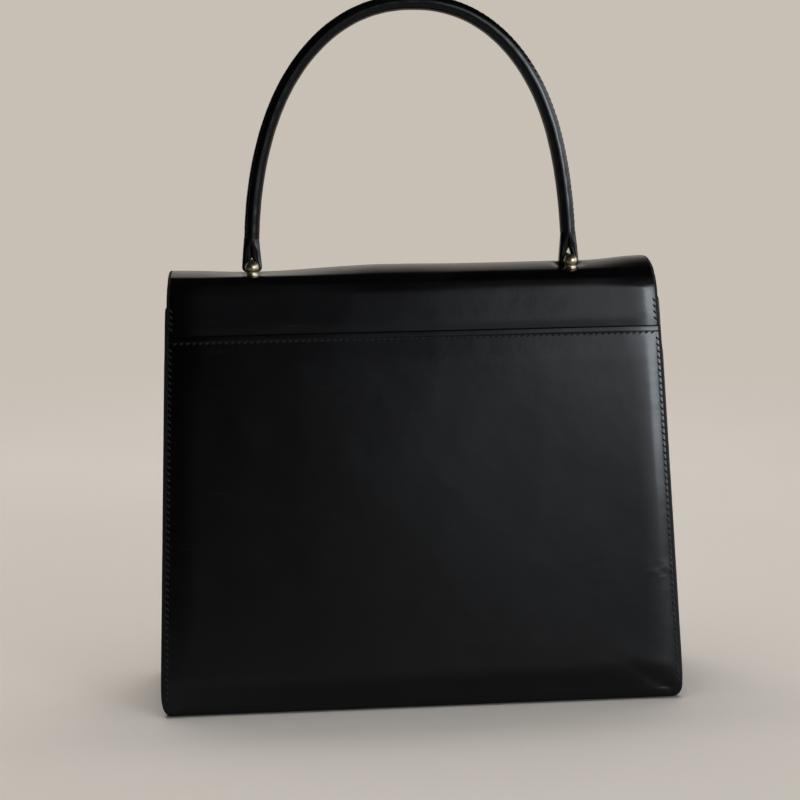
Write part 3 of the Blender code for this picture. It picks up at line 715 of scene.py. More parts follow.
body_line = [BACK.point(SEAM_Z), *reversed(BACK.fold()), *FRONT.fold(), FRONT.point(MOUTH_Z)]
body_skin = ribbon(
    "body_skin", body_line, panel_half, LEATHER, CALF, body_relief, 1.6 * MM, 1.9 * MM,
    rim=EDGE_PAINT, way=-1,
)
dress(body_skin, "shell", "black_leather", "body_leather")
print("body skin:", len(body_skin.data.polygons), "faces")

# %% [markdown]
# The flap is cut in one with the yoke: the leather climbs out of the back seam, rolls over the
# rear shoulder, crosses the crest and hangs down the front. A new bag's crest is straight. This
# one has sagged between the handle's feet and risen at its right end, so its height is a short
# table along the bag. The leather is also drawn down round the posts and under the loops.

# %% Crest height
CREST_RISE = (  # along the bag from left to right, how far the crest stands above its board, in mm
    (121, 0.5), (112, 0.3), (104, 0.0), (94, -0.5), (86, -0.85), (78, -0.95), (68, -0.85),
    (58, -0.4), (44, 0.4), (30, 1.05), (20, 1.5), (0, 1.45), (-20, 1.1), (-50, 1.1), (-72, 1.3),
    (-92, 1.2), (-105, 2.35), (-115, 3.2), (-121, 3.2),
)
HANDLE_HALF, PIVOT_Y, POST_OFFSET = 79.3 * MM, 1 * MM, 6.75 * MM
CREST_FLAT = LID_DEPTH / 2 - SHOULDER
CREST_BEND = CREST_FLAT + 8 * MM
CREST_REAR, LOOP_HOLLOW = -1.5 * MM, -1.85 * MM


def rounded_rise(x):
    """The crest's rise, with the corners of its table smoothed out."""
    places, rises = np.array(CREST_RISE[::-1], float).T * MM
    shifts = (-5, -2.5, 0, 2.5, 5)
    return sum(np.interp(x + shift * MM, places, rises) for shift in shifts) / len(shifts)


def foot_dimple(x, y):
    """The leather is drawn down around each post."""
    return sum(
        np.exp(-((x - foot_x) ** 2 + (y - foot_y) ** 2) / (4.2 * MM) ** 2)
        for foot_x in (-HANDLE_HALF, HANDLE_HALF)
        for foot_y in (PIVOT_Y - POST_OFFSET, PIVOT_Y + POST_OFFSET)
    )


def end_roll(x, d):
    """The crest's ends are rounded off, and the right one, at x below 0, more."""
    depth, reach = np.where(x > 0, 0.15, 0.3) * MM, np.where(x > 0, 1.5, 2.2) * MM
    return depth * np.clip(1 - d / reach, 0, 1) ** 2


def crest_top(x, y, d):
    """The crest curves down to the rear, dips at its feet and rolls off at both sides."""
    bend = np.clip((y + CREST_BEND - CREST_FLAT) / CREST_BEND, 0, 1) ** 2
    rise = rounded_rise(x)
    top = rise + (CREST_REAR - rise) * bend - 0.3 * MM * foot_dimple(x, y) - end_roll(x, d)
    across, along = (np.abs(x) - HANDLE_HALF) / (5.8 * MM), (y - PIVOT_Y) / (5.5 * MM)
    return top + (LOOP_HOLLOW - top) * np.exp(-across ** 4 - along ** 4)


print("the crest's height varies by", round(float(np.ptp(np.array(CREST_RISE)[:, 1])), 2), "mm")

# %% [markdown]
# Two ribbons make the flap's leather, one for each hinge, and they meet on the flat of the crest.
# Rigid pieces would tear apart at a hinge, yet here neither ribbon is given a body to ride on, so
# neither bends there. This is the rear one. It carries the crest's height on round the shoulder,
# swells over the yoke's board and tucks in at the seam, with small folds at its right end.


# %% Rear leather
CREST_JOINT_Y = -10.2 * MM
SHOULDER_RUN = 16 * MM


def shoulder(side, lean, steps=14):
    """The round shoulder from the wall up to the flat crest, as (y, z) points."""
    turn = [lean + (math.pi / 2 - lean) * i / steps for i in range(steps + 1)]
    return [
        (side * (CREST_FLAT + SHOULDER * math.cos(a)), HINGE_Z + SHOULDER * math.sin(a))
        for a in turn
    ]


def rear_shoulder(x, past):
    """Carries the crest's height and slope on down the rear shoulder."""
    t = np.clip(past / SHOULDER_RUN, 0, 1)
    slope = 2 * (CREST_REAR - rounded_rise(x)) / CREST_BEND
    carried = slope * SHOULDER_RUN * (t ** 3 - 2 * t ** 2 + t)
    return CREST_REAR * (2 * t ** 3 - 3 * t ** 2 + 1) + carried


def yoke_ripples(x, z):
    """Small folds that run in from the yoke's right end."""
    ripples = 0
    for i in range(8):
        high = 187 + 2.6 * i + 0.5 * math.sin(2.3 * i)
        outer = -panel_half(high * MM) / MM
        inner = outer + 11 + 3.5 * math.sin(1.9 * i)
        ripples = ripples + crease(x, z, (outer, high), (inner, high + 0.5), 0.08, 0.45, 0.4)
    return ripples


def rear_relief(x, s, z, d):
    y = CREST_FLAT - (s - REAR_FLAT)
    past = np.maximum(y - CREST_FLAT, 0)
    wall = smooth(past / (10 * MM))
    low = 1 - smooth((z - 200 * MM) / (7 * MM))
    rounded = rear_shoulder(x, past) - end_roll(x, d) * (1 - wall)
    over = np.where(past > 0, rounded, crest_top(x, y, d))
    tuck = 0.25 * MM * np.exp(-np.maximum(z - SEAM_Z, 0) / (1.4 * MM))
    bulge = 0.6 * MM * hump(z, 187 * MM, 13 * MM) - tuck
    sides = -1.8 * MM * np.clip(1 - d / (12 * MM), 0, 1) ** 2 * wall
    swell = 0.12 * MM * np.sin(x / (24 * MM) + 1.0) * low
    return over + bulge + sides + swell + yoke_ripples(x, z)


rear_line = [BACK.point(YOKE_LOW_Z, YOKE_DEPTH), BACK.point(HINGE_Z, YOKE_DEPTH)]
rear_line += shoulder(1, BACK.lean) + [(CREST_JOINT_Y, BODY_HEIGHT)]
REAR_FLAT = resample(rear_line)[0][-1] - (CREST_FLAT - CREST_JOINT_Y)
crest_rear = ribbon(
    "crest_rear", rear_line, panel_half, LEATHER, CALF, rear_relief, 1.0 * MM, 2.0 * MM,
    square=(False, True), rim=EDGE_PAINT,
)
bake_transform(crest_rear)
dress(crest_rear, None, "black_leather", "back_yoke")
print("rear leather:", len(crest_rear.data.polygons), "faces")

# %% [markdown]
# A turn lock holds the flap. Its parts are flat plates with holes and soft edges. Such a slab is
# made from a filled 2D curve with a bevel, which rounds its edges and those of its holes at once.


# %% Slabs
def stadium(length, width, steps=24):
    """The outline of a slot with round ends."""
    radius, reach = width / 2, (length - width) / 2
    points = []
    for end, start in ((1, -math.pi / 2), (-1, math.pi / 2)):
        for i in range(steps + 1):
            a = start + math.pi * i / steps
            points.append((end * reach + radius * math.cos(a), radius * math.sin(a)))
    return points


def slab(name, outline, holes, low, high, finish, bevel, to_world):
    """A plate with holes between two heights, its edges bevelled, moved by to_world."""
    curve = bpy.data.curves.new(name, "CURVE")
    curve.dimensions = "2D"
    curve.fill_mode = "BOTH"
    curve.extrude = (high - low) / 2 - bevel
    curve.bevel_depth = bevel
    curve.bevel_resolution = 3
    curve.offset = -bevel
    for ring in (outline, *holes):
        line = curve.splines.new("POLY")
        line.points.add(len(ring) - 1)
        for point, (x, y) in zip(line.points, ring):
            point.co = (x, y, 0, 1)
        line.use_cyclic_u = True
    holder = link_mesh(name, curve)
    graph = bpy.context.evaluated_depsgraph_get()
    mesh = bpy.data.meshes.new_from_object(holder.evaluated_get(graph))
    bpy.data.objects.remove(holder)
    mesh.transform(to_world @ Matrix.Translation((0, 0, (low + high) / 2)))
    mesh.materials.clear()
    mesh.materials.append(finish)
    return close_up(name, mesh, 40, weld=0.001 * MM)


print("a slot's outline has", len(stadium(2, 1)), "points")

# %% [markdown]
# The lock's bar reaches through a slot in every layer of the flap. A Boolean modifier cuts it with
# a slab as the helper solid. The modifier is applied at once, so that the piece's mesh is final.


# %% Slot for the lock
def wall_frame(wall, origin):
    """X across, Y up the wall and Z out of it, from an origin point."""
    up, out = wall.up(), wall.normal()
    turn = Matrix((up.cross(out), up, out)).transposed().to_4x4()
    return Matrix.Translation(origin) @ turn


LOCK_DROP = 76 * MM
FLAP_HINGE = Vector((0, -LID_DEPTH / 2, HINGE_Z))
FLAP_LOCK = wall_frame(FRONT, FLAP_HINGE - FRONT.up() * LOCK_DROP)
LEATHER_SLOT = stadium(18.2 * MM, 12.7 * MM)


def cut_slot(piece):
    tool = slab("slot_tool", LEATHER_SLOT, (), -8 * MM, 5 * MM, GOLD, 0.0, FLAP_LOCK)
    cut = piece.modifiers.new("slot", "BOOLEAN")
    cut.object = tool
    cut.solver = "EXACT"
    bake(piece)
    bpy.data.objects.remove(tool)
    return piece


print("the slot is", round(LOCK_DROP / MM), "mm below the flap's hinge")

# %% [markdown]
# The front ribbon runs from the joint on the crest over the front shoulder and down to the flap's
# round lower corners. Its face is a little crowned over its board, sinks along the stitched rim
# and takes the crest's height over where the two ribbons meet, so that no step shows there.


# %% Front leather
def front_relief(x, s, z, d):
    top = 1 - smooth((s - FRONT_FLAT) / (11 * MM))
    sides = -0.6 * MM * (1 - smooth(d / (5 * MM)))
    crown = 0.5 * MM * smooth(d / (10 * MM))
    swell = 0.14 * MM * np.sin(x / (27 * MM) + 0.3 + s / (35 * MM))
    rows = -0.2 * MM * hump(np.minimum(d, FRONT_END - s), SIDE_STITCH_INSET, 0.45 * MM)
    return crest_top(x, CREST_JOINT_Y - s, d) * top + (sides + crown + swell + rows) * (1 - top)


def flap_width(z):
    return panel_half(z) - FLAP_INSET * smooth((HINGE_Z - z) / (4 * MM))


FLAP_END_Y = -LID_DEPTH / 2 - FLAP_LENGTH * math.sin(FRONT.lean)
FLAP_END_Z = HINGE_Z - FLAP_LENGTH * math.cos(FRONT.lean)
front_line = [(CREST_JOINT_Y, BODY_HEIGHT), *reversed(shoulder(-1, FRONT.lean))]
front_line.append((FLAP_END_Y, FLAP_END_Z))
FRONT_FLAT = CREST_FLAT + CREST_JOINT_Y
FRONT_END = resample(front_line)[0][-1]
crest_front = ribbon(
    "crest_front", front_line, flap_width, LEATHER, CALF, front_relief, 1.6 * MM, 2.0 * MM,
    corner=FLAP_CORNER, square=(True, False), rim=EDGE_PAINT,
)
cut_slot(crest_front)
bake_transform(crest_front)
dress(crest_front, None, "black_leather", "flap_leather", "lid_leather")
print("front leather, with its slot:", len(crest_front.data.polygons), "faces")

# %% [markdown]
# The linings are cloth glued over the boards. Their edges are turned under, so a ribbon with a
# rounded rim suits them, with a slight looseness between the glued places. A slip pocket with a
# bound leather edge lies on the back lining.


# %% Linings and pocket
def loose(amount, run):
    def relief(x, s, z, d):
        wave = np.sin(x / (run * 1.3) + 1.7 * np.sin(s / (run * 1.9))) * np.sin(s / run + 0.6)
        return amount * (wave - 1) * smooth(d / (9 * MM))
    return relief


def inset_half(inset):
    return lambda z: half_width(z) - inset


def on_back(up, depth):
    return BACK.point(up * math.cos(BACK.lean), depth)


CLOTH_SLOT = "lining_fabric"
BASE_FLOOR = LEATHER + GAP + 3 * MM + GAP + LINING
FOOT_Z = BASE_FLOOR + 1.2 * MM
CLOTH_BACK = YOKE_DEPTH * 2 + 1.2 * MM + GAP + LINING
CLOTH_FRONT = YOKE_DEPTH + 3 * MM + GAP + LINING
POCKET_TOP, POCKET_HIGH, POCKET_HALF = MOUTH_Z / math.cos(BACK.lean) - 52 * MM, 95 * MM, 75 * MM
POCKET_DEPTH, BINDING = CLOTH_BACK + GAP + LINING, 1.2 * MM
CLOTH_HALF = inset_half(BOARD_INSET)
LININGS = (
    ("back_lining_cloth", "back_lining", CLOTH_HALF,
     [BACK.point(MOUTH_Z, CLOTH_BACK), BACK.point(FOOT_Z, CLOTH_BACK)]),
    ("front_lining_cloth", "front_lining", CLOTH_HALF,
     [FRONT.point(FOOT_Z, CLOTH_FRONT), FRONT.point(MOUTH_Z, CLOTH_FRONT)]),
    ("base_lining_cloth", "base_lining", BASE_WIDTH / 2 - BOARD_INSET,
     [(38 * MM, BASE_FLOOR), (-38 * MM, BASE_FLOOR)]),
    ("pocket_cloth", "slip_pocket", POCKET_HALF,
     [on_back(POCKET_TOP, POCKET_DEPTH), on_back(POCKET_TOP - POCKET_HIGH, POCKET_DEPTH)]),
)
for name, node, half, line in LININGS:
    cloth = ribbon(name, line, half, LINING, TWILL, loose(0.18 * MM, 21 * MM), 3 * MM, 3 * MM,
                   inner_relief=0.0)
    dress(cloth, "shell", CLOTH_SLOT, node)

lid_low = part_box("lid_lining")
lid_cloth = ribbon(
    "lid_lining_cloth", [(lid_low[0].y, lid_low[0].z), (lid_low[1].y, lid_low[0].z)],
    TOP_WIDTH / 2 - BOARD_INSET, LINING, TWILL, None, 3 * MM, 3 * MM,
)
dress(lid_cloth, "lid", CLOTH_SLOT, "lid_lining")
binding_line = [on_back(POCKET_TOP + GAP + up, CLOTH_BACK + GAP + BINDING) for up in (6 * MM, 0)]
binding = ribbon(
    "pocket_binding_leather", binding_line, POCKET_HALF, BINDING, ROLLED_CALF,
    lambda x, s, z, d: 0.25 * MM * hump(s, 3 * MM, 2 * MM), 1 * MM, 3 * MM,
    rim=EDGE_PAINT, inner_relief=0.0,
)
dress(binding, "shell", "black_leather", "pocket_binding")
print("linings made:", len(LININGS) + 1)

# %% [markdown]
# Under the flap's leather lie a board and a lining, both with the lock's slot. The real flap is a
# sandwich glued to its very rim, and the board's edge is painted black with the leather's. So the
# board runs out to the rim here. With a smaller one, the flap's lower end would look forked.


# %% Flap board and lining
def flap_layer(name, depth, top, inset, thickness, finish, slot_name, node, raised=0.0):
    """A layer that lies that deep under the flap's face, from top down to the rim. It is drawn
    deeper by raised, and moved out by as much once it is made."""
    line = []
    for down in (top, FLAP_LENGTH - FLAP_INSET):
        end = FLAP_HINGE - FRONT.normal() * (depth + raised) - FRONT.up() * down
        line.append((end.y, end.z))
    made = ribbon(
        name, line, inset_half(inset), thickness, finish, None, 3 * MM, 3 * MM,
        corner=FLAP_CORNER - FLAP_INSET,
    )
    made.data.transform(Matrix.Translation(FRONT.normal() * raised))
    return dress(cut_slot(made), "flap", slot_name, node)


GLUE = 0.03 * MM
flap_layer("flap_lining_cloth", LEATHER + 2 * GAP + FLAP_BOARD, GAP, 1.6 * MM, LINING, TWILL,
           CLOTH_SLOT, "flap_lining", raised=LINING)
flap_filler = flap_layer("flap_filler", LEATHER + GLUE, 6 * MM, 1.5 * MM,
                         FLAP_BOARD + 2 * GAP - 2 * GLUE, EDGE_PAINT, "bonded_board", "flap_board")
print("flap board:", len(flap_filler.data.polygons), "faces")

# %% [markdown]
# Each side of the bag is a gusset: one piece of leather that folds inwards down its middle when
# the bag closes, with a flange sewn to both panels and the base. Its corners are soft, so it
# starts as a coarse sheet. Its rows follow both panels up, past the yoke's step.

# %% Folded gusset sheet
GUSSET_SHARES = (-1, -0.97, -0.86, -0.6, -0.3, -0.08, 0, 0.08, 0.3, 0.6, 0.86, 0.97, 1)
GUSSET_HEIGHTS = (0, 0.02, 0.06, 0.14, 0.25, 0.38, 0.5, 0.62, 0.74, 0.86, 0.97, 1)
FLANGE, FLANGE_PROUD, GUSSET_FOLD = 6 * MM, 0.1 * MM, 14 * MM
FLANGE_SHARES = (0.12, 0.9, 1.0)


def gusset_rows():
    """The height of each row, with the y of its back and of its front edge."""
    low, jog = YOKE_DEPTH, YOKE_LOW_Z - GAP
    heights = [low + (jog - YOKE_DEPTH - low) * t for t in GUSSET_HEIGHTS]
    for z in [*heights, jog, jog + 10 * MM, GUSSET_TOP_Z]:
        behind = YOKE_DEPTH if z < jog - 1 * MM else 2 * YOKE_DEPTH
        tuck = FOLD if z == low else 0
        yield z, BACK.point(z, behind)[0] - tuck, FRONT.point(z, YOKE_DEPTH)[0] + tuck


def join_rows(bm, lower, upper, flip):
    for a, b, c, d in zip(lower, lower[1:], upper[1:], upper):
        bm.faces.new((d, c, b, a) if flip else (a, b, c, d))


def gusset_grid(bm, side, shift, end_room):
    """The folded sheet's points, row by row, set in by shift and short of its ends by end_room."""
    grid = []
    for z, back_y, front_y in gusset_rows():
        fold = GUSSET_FOLD * (z / GUSSET_TOP_Z) ** 0.6
        edge_x = half_width(z) - FLANGE - shift - corner_pull(z)
        middle, reach = (back_y + front_y) / 2, (back_y - front_y) / 2
        slack = 0.7 * MM * math.sin(z / (17 * MM)) * smooth(z / (60 * MM))
        height = z if grid else z + shift
        row = []
        for share in GUSSET_SHARES:
            across = share * (1 - end_room / reach)
            x = edge_x - fold * (1 - abs(across)) + slack * (1 - abs(share)) * abs(share) * 2
            row.append(bm.verts.new((side * x, middle + reach * across, height)))
        grid.append(row)
    return grid


print("a gusset has", len(list(gusset_rows())), "rows of", len(GUSSET_SHARES), "points")

# %% [markdown]
# The flange goes on as three more strips of faces along the sheet's edge. The whole is thickened
# and then rounded by a Subdivision modifier, which gives the corners the soft look of bent leather
# with few points to place. The lining is the same sheet, set in and without a flange.


# %% Gussets
def gusset_sheet(name, side, shift, end_room, flange, thickness, finish):
    bm = bmesh.new()
    grid = gusset_grid(bm, side, shift, end_room)
    for lower, upper in zip(grid, grid[1:]):
        join_rows(bm, lower, upper, side > 0)
    if flange:
        ring, last = [row[0] for row in reversed(grid)] + grid[0][1:-1], 0.0
        ring += [row[-1] for row in grid]
        for share in FLANGE_SHARES:
            reach = Vector((side * (FLANGE + FLANGE_PROUD) * (share - last), 0, 0))
            outer = [bm.verts.new(v.co + reach) for v in ring]
            join_rows(bm, ring, outer, side < 0)
            ring, last = outer, share
    mesh = bpy.data.meshes.new(name)
    bm.to_mesh(mesh)
    bm.free()
    mesh.materials.append(finish)
    made = link_mesh(name, mesh)
    layer = made.modifiers.new("thickness", "SOLIDIFY")
    layer.thickness, layer.offset, layer.use_even_offset = thickness, -1.0, True
    rounding = made.modifiers.new("rounding", "SUBSURF")
    rounding.levels = rounding.render_levels = 2
    bake(made)
    made.data.shade_smooth()
    return made


CLOTH_ROOM = YOKE_DEPTH + GUSSET_LEATHER + 1.5 * MM
for side, word in SIDES:
    fold = gusset_sheet(
        "gusset_fold_" + word, side, 0.0, 0.0, True, GUSSET_LEATHER, GUSSET_CALF
    )
    dress(fold, "shell", "black_leather", "gusset_" + word)
    cloth = gusset_sheet(
        "gusset_cloth_" + word, side, 1.6 * MM, CLOTH_ROOM, False, LINING, TWILL
    )
    dress(cloth, "shell", CLOTH_SLOT, "gusset_lining_" + word)
print("gusset:", len(fold.data.polygons), "faces, its lining", len(cloth.data.polygons))

# %% [markdown]
# The handle is a strip of calf pulled round a cord and closed by a seam. A curve with a round
# bevel could make the tube, but it needs a groove along one line and a small dent at each stitch,
# so rings of points are laid along its line instead. The line is a squared-off ellipse like the
# CAD's, a little lower and wider and pulled to the right at its top, as the worn handle is.

# %% Handle line
HANDLE_RISE, BULGE = 127.9 * MM, 2.15
PIVOT = Vector((0, PIVOT_Y, 216.8 * MM))
LOOP_REACH, TUBE = 14 * MM, 3.8 * MM
HANDLE_LEAN = (  # share of the way from the left foot to the right one, shift to the right in mm
    (0.0, 0.0), (0.04, -0.15), (0.08, -0.2), (0.13, -0.25), (0.18, -0.4), (0.24, -0.2),
    (0.31, 0.3), (0.4, 1.0), (0.5, 2.1), (0.6, 3.1), (0.69, 3.2), (0.76, 2.9), (0.82, 2.4),
    (0.87, 1.5), (0.92, 0.6), (0.96, 0.1), (1.0, 0.0),
)


def arch(count):
    """Even distances along the handle, and the x and z of its line there."""
    power = 2 / BULGE
    start = math.asin((LOOP_REACH / HANDLE_RISE) ** (1 / power))
    angle = np.linspace(start, math.pi - start, 4001)
    x = np.sign(np.cos(angle)) * HANDLE_HALF * np.abs(np.cos(angle)) ** power
    z = HANDLE_RISE * np.sin(angle) ** power
    share = (angle - start) / (math.pi - 2 * start)
    shares, shifts = np.array(HANDLE_LEAN).T
    spots = np.linspace(-0.04, 0.04, 9)
    x = x - sum(np.interp(share + spot, shares, shifts) for spot in spots) / len(spots) * MM
    along = np.concatenate([[0], np.cumsum(np.hypot(np.diff(x), np.diff(z)))])
    even = np.linspace(0, along[-1], count)
    return even, np.interp(even, along, x), np.interp(even, along, z)


def handle_frames(count):
    """Even distances, with the line's point, its direction and the outward direction there."""
    even, x, z = arch(count)
    tangent = np.stack([np.gradient(x, even), np.gradient(z, even)], 1)
    tangent /= np.linalg.norm(tangent, axis=1)[:, None]
    outward = np.stack([tangent[:, 1], 0 * even, -tangent[:, 0]], 1)
    centre = np.stack([x, 0 * x, z], 1) + np.array(PIVOT)
    return even, centre, np.stack([tangent[:, 0], 0 * even, tangent[:, 1]], 1), outward


HANDLE_RINGS, HANDLE_SIDES = 620, 48
s_handle, centre_line, tangents, outwards = handle_frames(HANDLE_RINGS)
print("handle is", round(s_handle[-1] / MM), "mm long between its loops")

# %% [markdown]
# The seam turns towards the outside of the arch and a little to the back. The thread pulls it in
# at each stitch, and the leather swells on both sides of the groove.

# %% Handle cover
SEAM_TURN = math.radians(50)
HANDLE_PITCH = 2.9 * MM


def ring_skin(name, points, finish):
    """A closed skin over rings of points, with a flat cap at each end."""
    rings, sides = points.shape[:2]
    index = np.arange(rings * sides).reshape(rings, sides)
    across = np.roll(index, -1, axis=1)
    faces = np.stack([index[:-1], across[:-1], across[1:], index[1:]], -1).reshape(-1, 4).tolist()
    faces += [index[0].tolist(), index[-1, ::-1].tolist()]
    mesh = bpy.data.meshes.new(name)
    mesh.from_pydata(points.reshape(-1, 3).tolist(), [], faces)
    mesh.materials.append(finish)
    return close_up(name, mesh, 60)


def handle_radius(s, length, turn):
    """The tube's radius by its place along the handle and round it."""
    end = np.minimum(s, length - s)
    groove = np.arctan2(np.sin(turn - SEAM_TURN), np.cos(turn - SEAM_TURN)) * TUBE
    stitch = 0.5 + 0.5 * np.cos(2 * math.pi * s / HANDLE_PITCH)
    lips = hump(groove, 0.95 * MM, 0.5 * MM) + hump(groove, -0.95 * MM, 0.5 * MM)
    pulled = (0.30 + 0.12 * stitch) * MM * hump(groove, 0, 0.34 * MM)
    dents = 0.13 * MM * stitch * hump(groove, 1.15 * MM, 0.42 * MM)
    wrinkle = 0.025 * MM * np.sin(s / (1.9 * MM) + 3 * np.sin(s / (11 * MM)) + 2 * np.sin(turn))
    return TUBE - pulled + 0.10 * MM * lips - dents + wrinkle * smooth(end / (6 * MM))


def handle_tube(name, radii, finish):
    """A tube along the handle, from the radius of each point of each ring."""
    spokes = outwards[:, None, :] * np.sin(turns)[None, :, None]
    spokes = spokes + np.array([0.0, 1.0, 0.0]) * np.cos(turns)[None, :, None]
    return ring_skin(name, centre_line[:, None, :] + spokes * radii[:, :, None], finish)


turns = np.linspace(0, 2 * math.pi, HANDLE_SIDES, endpoint=False)
radii = handle_radius(s_handle[:, None], s_handle[-1], turns[None, :])
handle_skin = handle_tube("handle_skin", radii, ROLLED_CALF)
dress(handle_skin, "handle", "black_leather", "handle_cover")
core_radii = 1.9 * MM + 0.05 * MM * np.sin(s_handle[:, None] / (1.3 * MM) + turns[None, :])
core = handle_tube("handle_cord_core", core_radii, CORD)
dress(core, "handle", "handle_cord", "handle_core")
print("handle cover:", len(handle_skin.data.polygons), "faces")

# %% [markdown]
# At each end the handle's leather is folded into a loop that hangs on a pin. A band is swept round
# a teardrop: down one side, under the pin and up the other, which leaves the small drop-shaped
# gap that shows above the ball. Its section changes on the way, from a flat strap at the pin to
# half of the round handle at the neck.


# %% Handle loops
EYE_RADIUS, LOOP_RADIUS, LOOP_FLATTEN = 2.3 * MM, 5.0 * MM, 0.68
EYE_TOPS = {"left": 4.4 * MM, "right": 6.4 * MM}
NECK_HALF, NECK_TOP = TUBE - 0.04 * MM, LOOP_REACH + 0.6 * MM


def teardrop(count):
    """A line from one side of the neck, round the pin, to the other side."""
    to_neck = math.hypot(NECK_HALF, NECK_TOP)
    swing = math.atan2(NECK_TOP, NECK_HALF) - math.acos(LOOP_RADIUS / to_neck)
    turn = np.linspace(swing, -math.pi - swing, count)
    ring = np.stack([LOOP_RADIUS * np.cos(turn), LOOP_RADIUS * np.sin(turn)], 1)
    ring[:, 1] = np.where(ring[:, 1] < 0, ring[:, 1] * LOOP_FLATTEN, ring[:, 1])
    steps = np.linspace(0, 1, 12)[:, None]
    right = np.array([[NECK_HALF, NECK_TOP]]) * (1 - steps[:-1]) + ring[:1] * steps[:-1]
    left = ring[-1:] * (1 - steps[1:]) + np.array([[-NECK_HALF, NECK_TOP]]) * steps[1:]
    return np.concatenate([right, ring, left])


def loop_eye(outer, eye_top):
    """The loop's inner line: round the pin, and narrowing to a point at eye_top."""
    turn = np.arctan2(outer[:, 1] / np.where(outer[:, 1] < 0, LOOP_FLATTEN, 1.0), outer[:, 0])
    inner = EYE_RADIUS * np.stack([np.cos(turn), np.sin(turn)], 1)
    tangent = math.asin(EYE_RADIUS / eye_top)
    low_z = EYE_RADIUS * math.sin(tangent)
    narrowing = EYE_RADIUS * math.cos(tangent) * (eye_top - outer[:, 1]) / (eye_top - low_z)
    above = outer[:, 1] > low_z
    inner[above, 0] = (np.sign(outer[:, 0]) * np.maximum(narrowing, -0.12 * MM))[above]
    inner[above, 1] = outer[above, 1]
    return inner


def squared(wave, power=2 / 3.0):
    """A sine or cosine pushed out towards the corners of a square."""
    return np.sign(wave) * np.abs(wave) ** power


def loop_band(word, side):
    outer = teardrop(45)
    inner = loop_eye(outer, EYE_TOPS[word])
    middle, reach = (outer + inner) / 2, (outer - inner) / 2
    corner = np.linspace(0, 2 * math.pi, 64, endpoint=False)
    upper = smooth((outer[:, 1] - 7 * MM) / (6 * MM))[:, None]
    half_round = np.where(np.cos(corner) > 0, 2 * np.cos(corner) - 1, -1.0)
    flat = squared(np.cos(corner)) * (1 - upper) + half_round * upper
    wide = squared(np.sin(corner)) * (1 - upper) + np.sin(corner) * upper
    pleated = smooth((outer[:, 1] + 1 * MM) / (4 * MM))[:, None]
    pleat = 1 - 0.05 * (0.5 + 0.5 * np.cos(flat * 9.0)) * pleated
    x = middle[:, None, 0] + reach[:, None, 0] * flat + side * (HANDLE_HALF - 0.1 * MM * upper)
    y = (2.95 + 0.75 * upper) * MM * pleat * wide + PIVOT.y
    z = middle[:, None, 1] + reach[:, None, 1] * flat + PIVOT.z
    made = ring_skin("handle_strap_" + word, np.stack([x, y, z], -1), ROLLED_CALF)
    return dress(made, "handle", "black_leather", "handle_loop_" + word)


for side, word in SIDES:
    strap = loop_band(word, side)
print("each loop:", len(strap.data.polygons), "faces")

# %% [markdown]
# Turned metal parts are easiest as a profile spun round an axis. Blender's Screw modifier spins
# one too, but leaves a seam at the axis. Each post is a ball on a waisted neck with a small foot
# that presses into the leather, and the pin between two balls has rounded ends.


# %% Ball posts and pins
def lathe(name, profile, to_world, finish, sides=64):
    """A closed solid from (radius, height) points that start and end on the axis."""
    turn = [2 * math.pi * i / sides for i in range(sides)]
    points, rings = [], []
    for r, h in profile:
        first = len(points)
        ring = [(r * math.cos(a), r * math.sin(a), h) for a in turn]
        points += ring if r >= 1e-7 else [(0, 0, h)]
        rings.append(range(first, len(points)))
    faces = []
    for low, high in zip(rings, rings[1:]):
        for i in range(sides):
            j = (i + 1) % sides
            if len(low) == 1:
                faces.append((low[0], high[i], high[j]))
            elif len(high) == 1:
                faces.append((low[j], low[i], high[0]))
            else:
                faces.append((low[i], low[j], high[j], high[i]))
    mesh = bpy.data.meshes.new(name)
    mesh.from_pydata(points, [], faces)
    mesh.transform(to_world)
    mesh.materials.append(finish)
    return close_up(name, mesh, 50)


BALL, NECK, STUD, PIN_ROUND = 3.4 * MM, 2.8 * MM, 1.1 * MM, 1.4 * MM
POST_FOOT = (  # the foot under the neck: mm wider than the neck, mm above the crest
    (0, 1.0), (0.1, 0.5), (0.35, 0), (0.5, -0.8), (0.4, -1.4),
)
foot_drop = PIVOT.z - (BODY_HEIGHT + CREST_REAR)
tilt = math.asin(NECK / BALL)
post_line = [(BALL * math.sin(a), BALL * math.cos(a)) for a in np.linspace(0, math.pi - tilt, 40)]
post_line[0] = (0.0, BALL)
post_line += [(NECK + wider * MM, high * MM - foot_drop) for wider, high in POST_FOOT]
post_line += [(STUD, -1.5 * MM - foot_drop), (STUD, -9.1 * MM), (0.0, -9.3 * MM)]
for side, word in SIDES:
    for way, place in ((1, "rear"), (-1, "front")):
        seat = Matrix.Translation((side * HANDLE_HALF, PIVOT.y + way * POST_OFFSET, PIVOT.z))
        post = lathe(f"gold_post_{word}_{place}", post_line, seat, GOLD)
        dress(post, "lid", "pale_gold", f"ball_post_{word}_{place}")
    low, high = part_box("handle_pin_" + word)
    half_pin = (high.y - low.y) / 2
    pin_line = [
        (PIN_ROUND * math.sin(a), half_pin + PIN_ROUND * (math.cos(a) - 1))
        for a in np.linspace(0, math.pi / 2, 10)
    ]
    pin_line += [(r, -h) for r, h in reversed(pin_line)]
    lying = Matrix.Translation(((low.x + high.x) / 2, (low.y + high.y) / 2, PIVOT.z))
    lying = lying @ Matrix.Rotation(math.pi / 2, 4, "X")
    pin = lathe("gold_pin_" + word, pin_line, lying, GOLD)
    dress(pin, "lid", "pale_gold", "handle_pin_" + word)
print("four posts and two pins turned, each pin", round(2 * half_pin / MM, 1), "mm long")

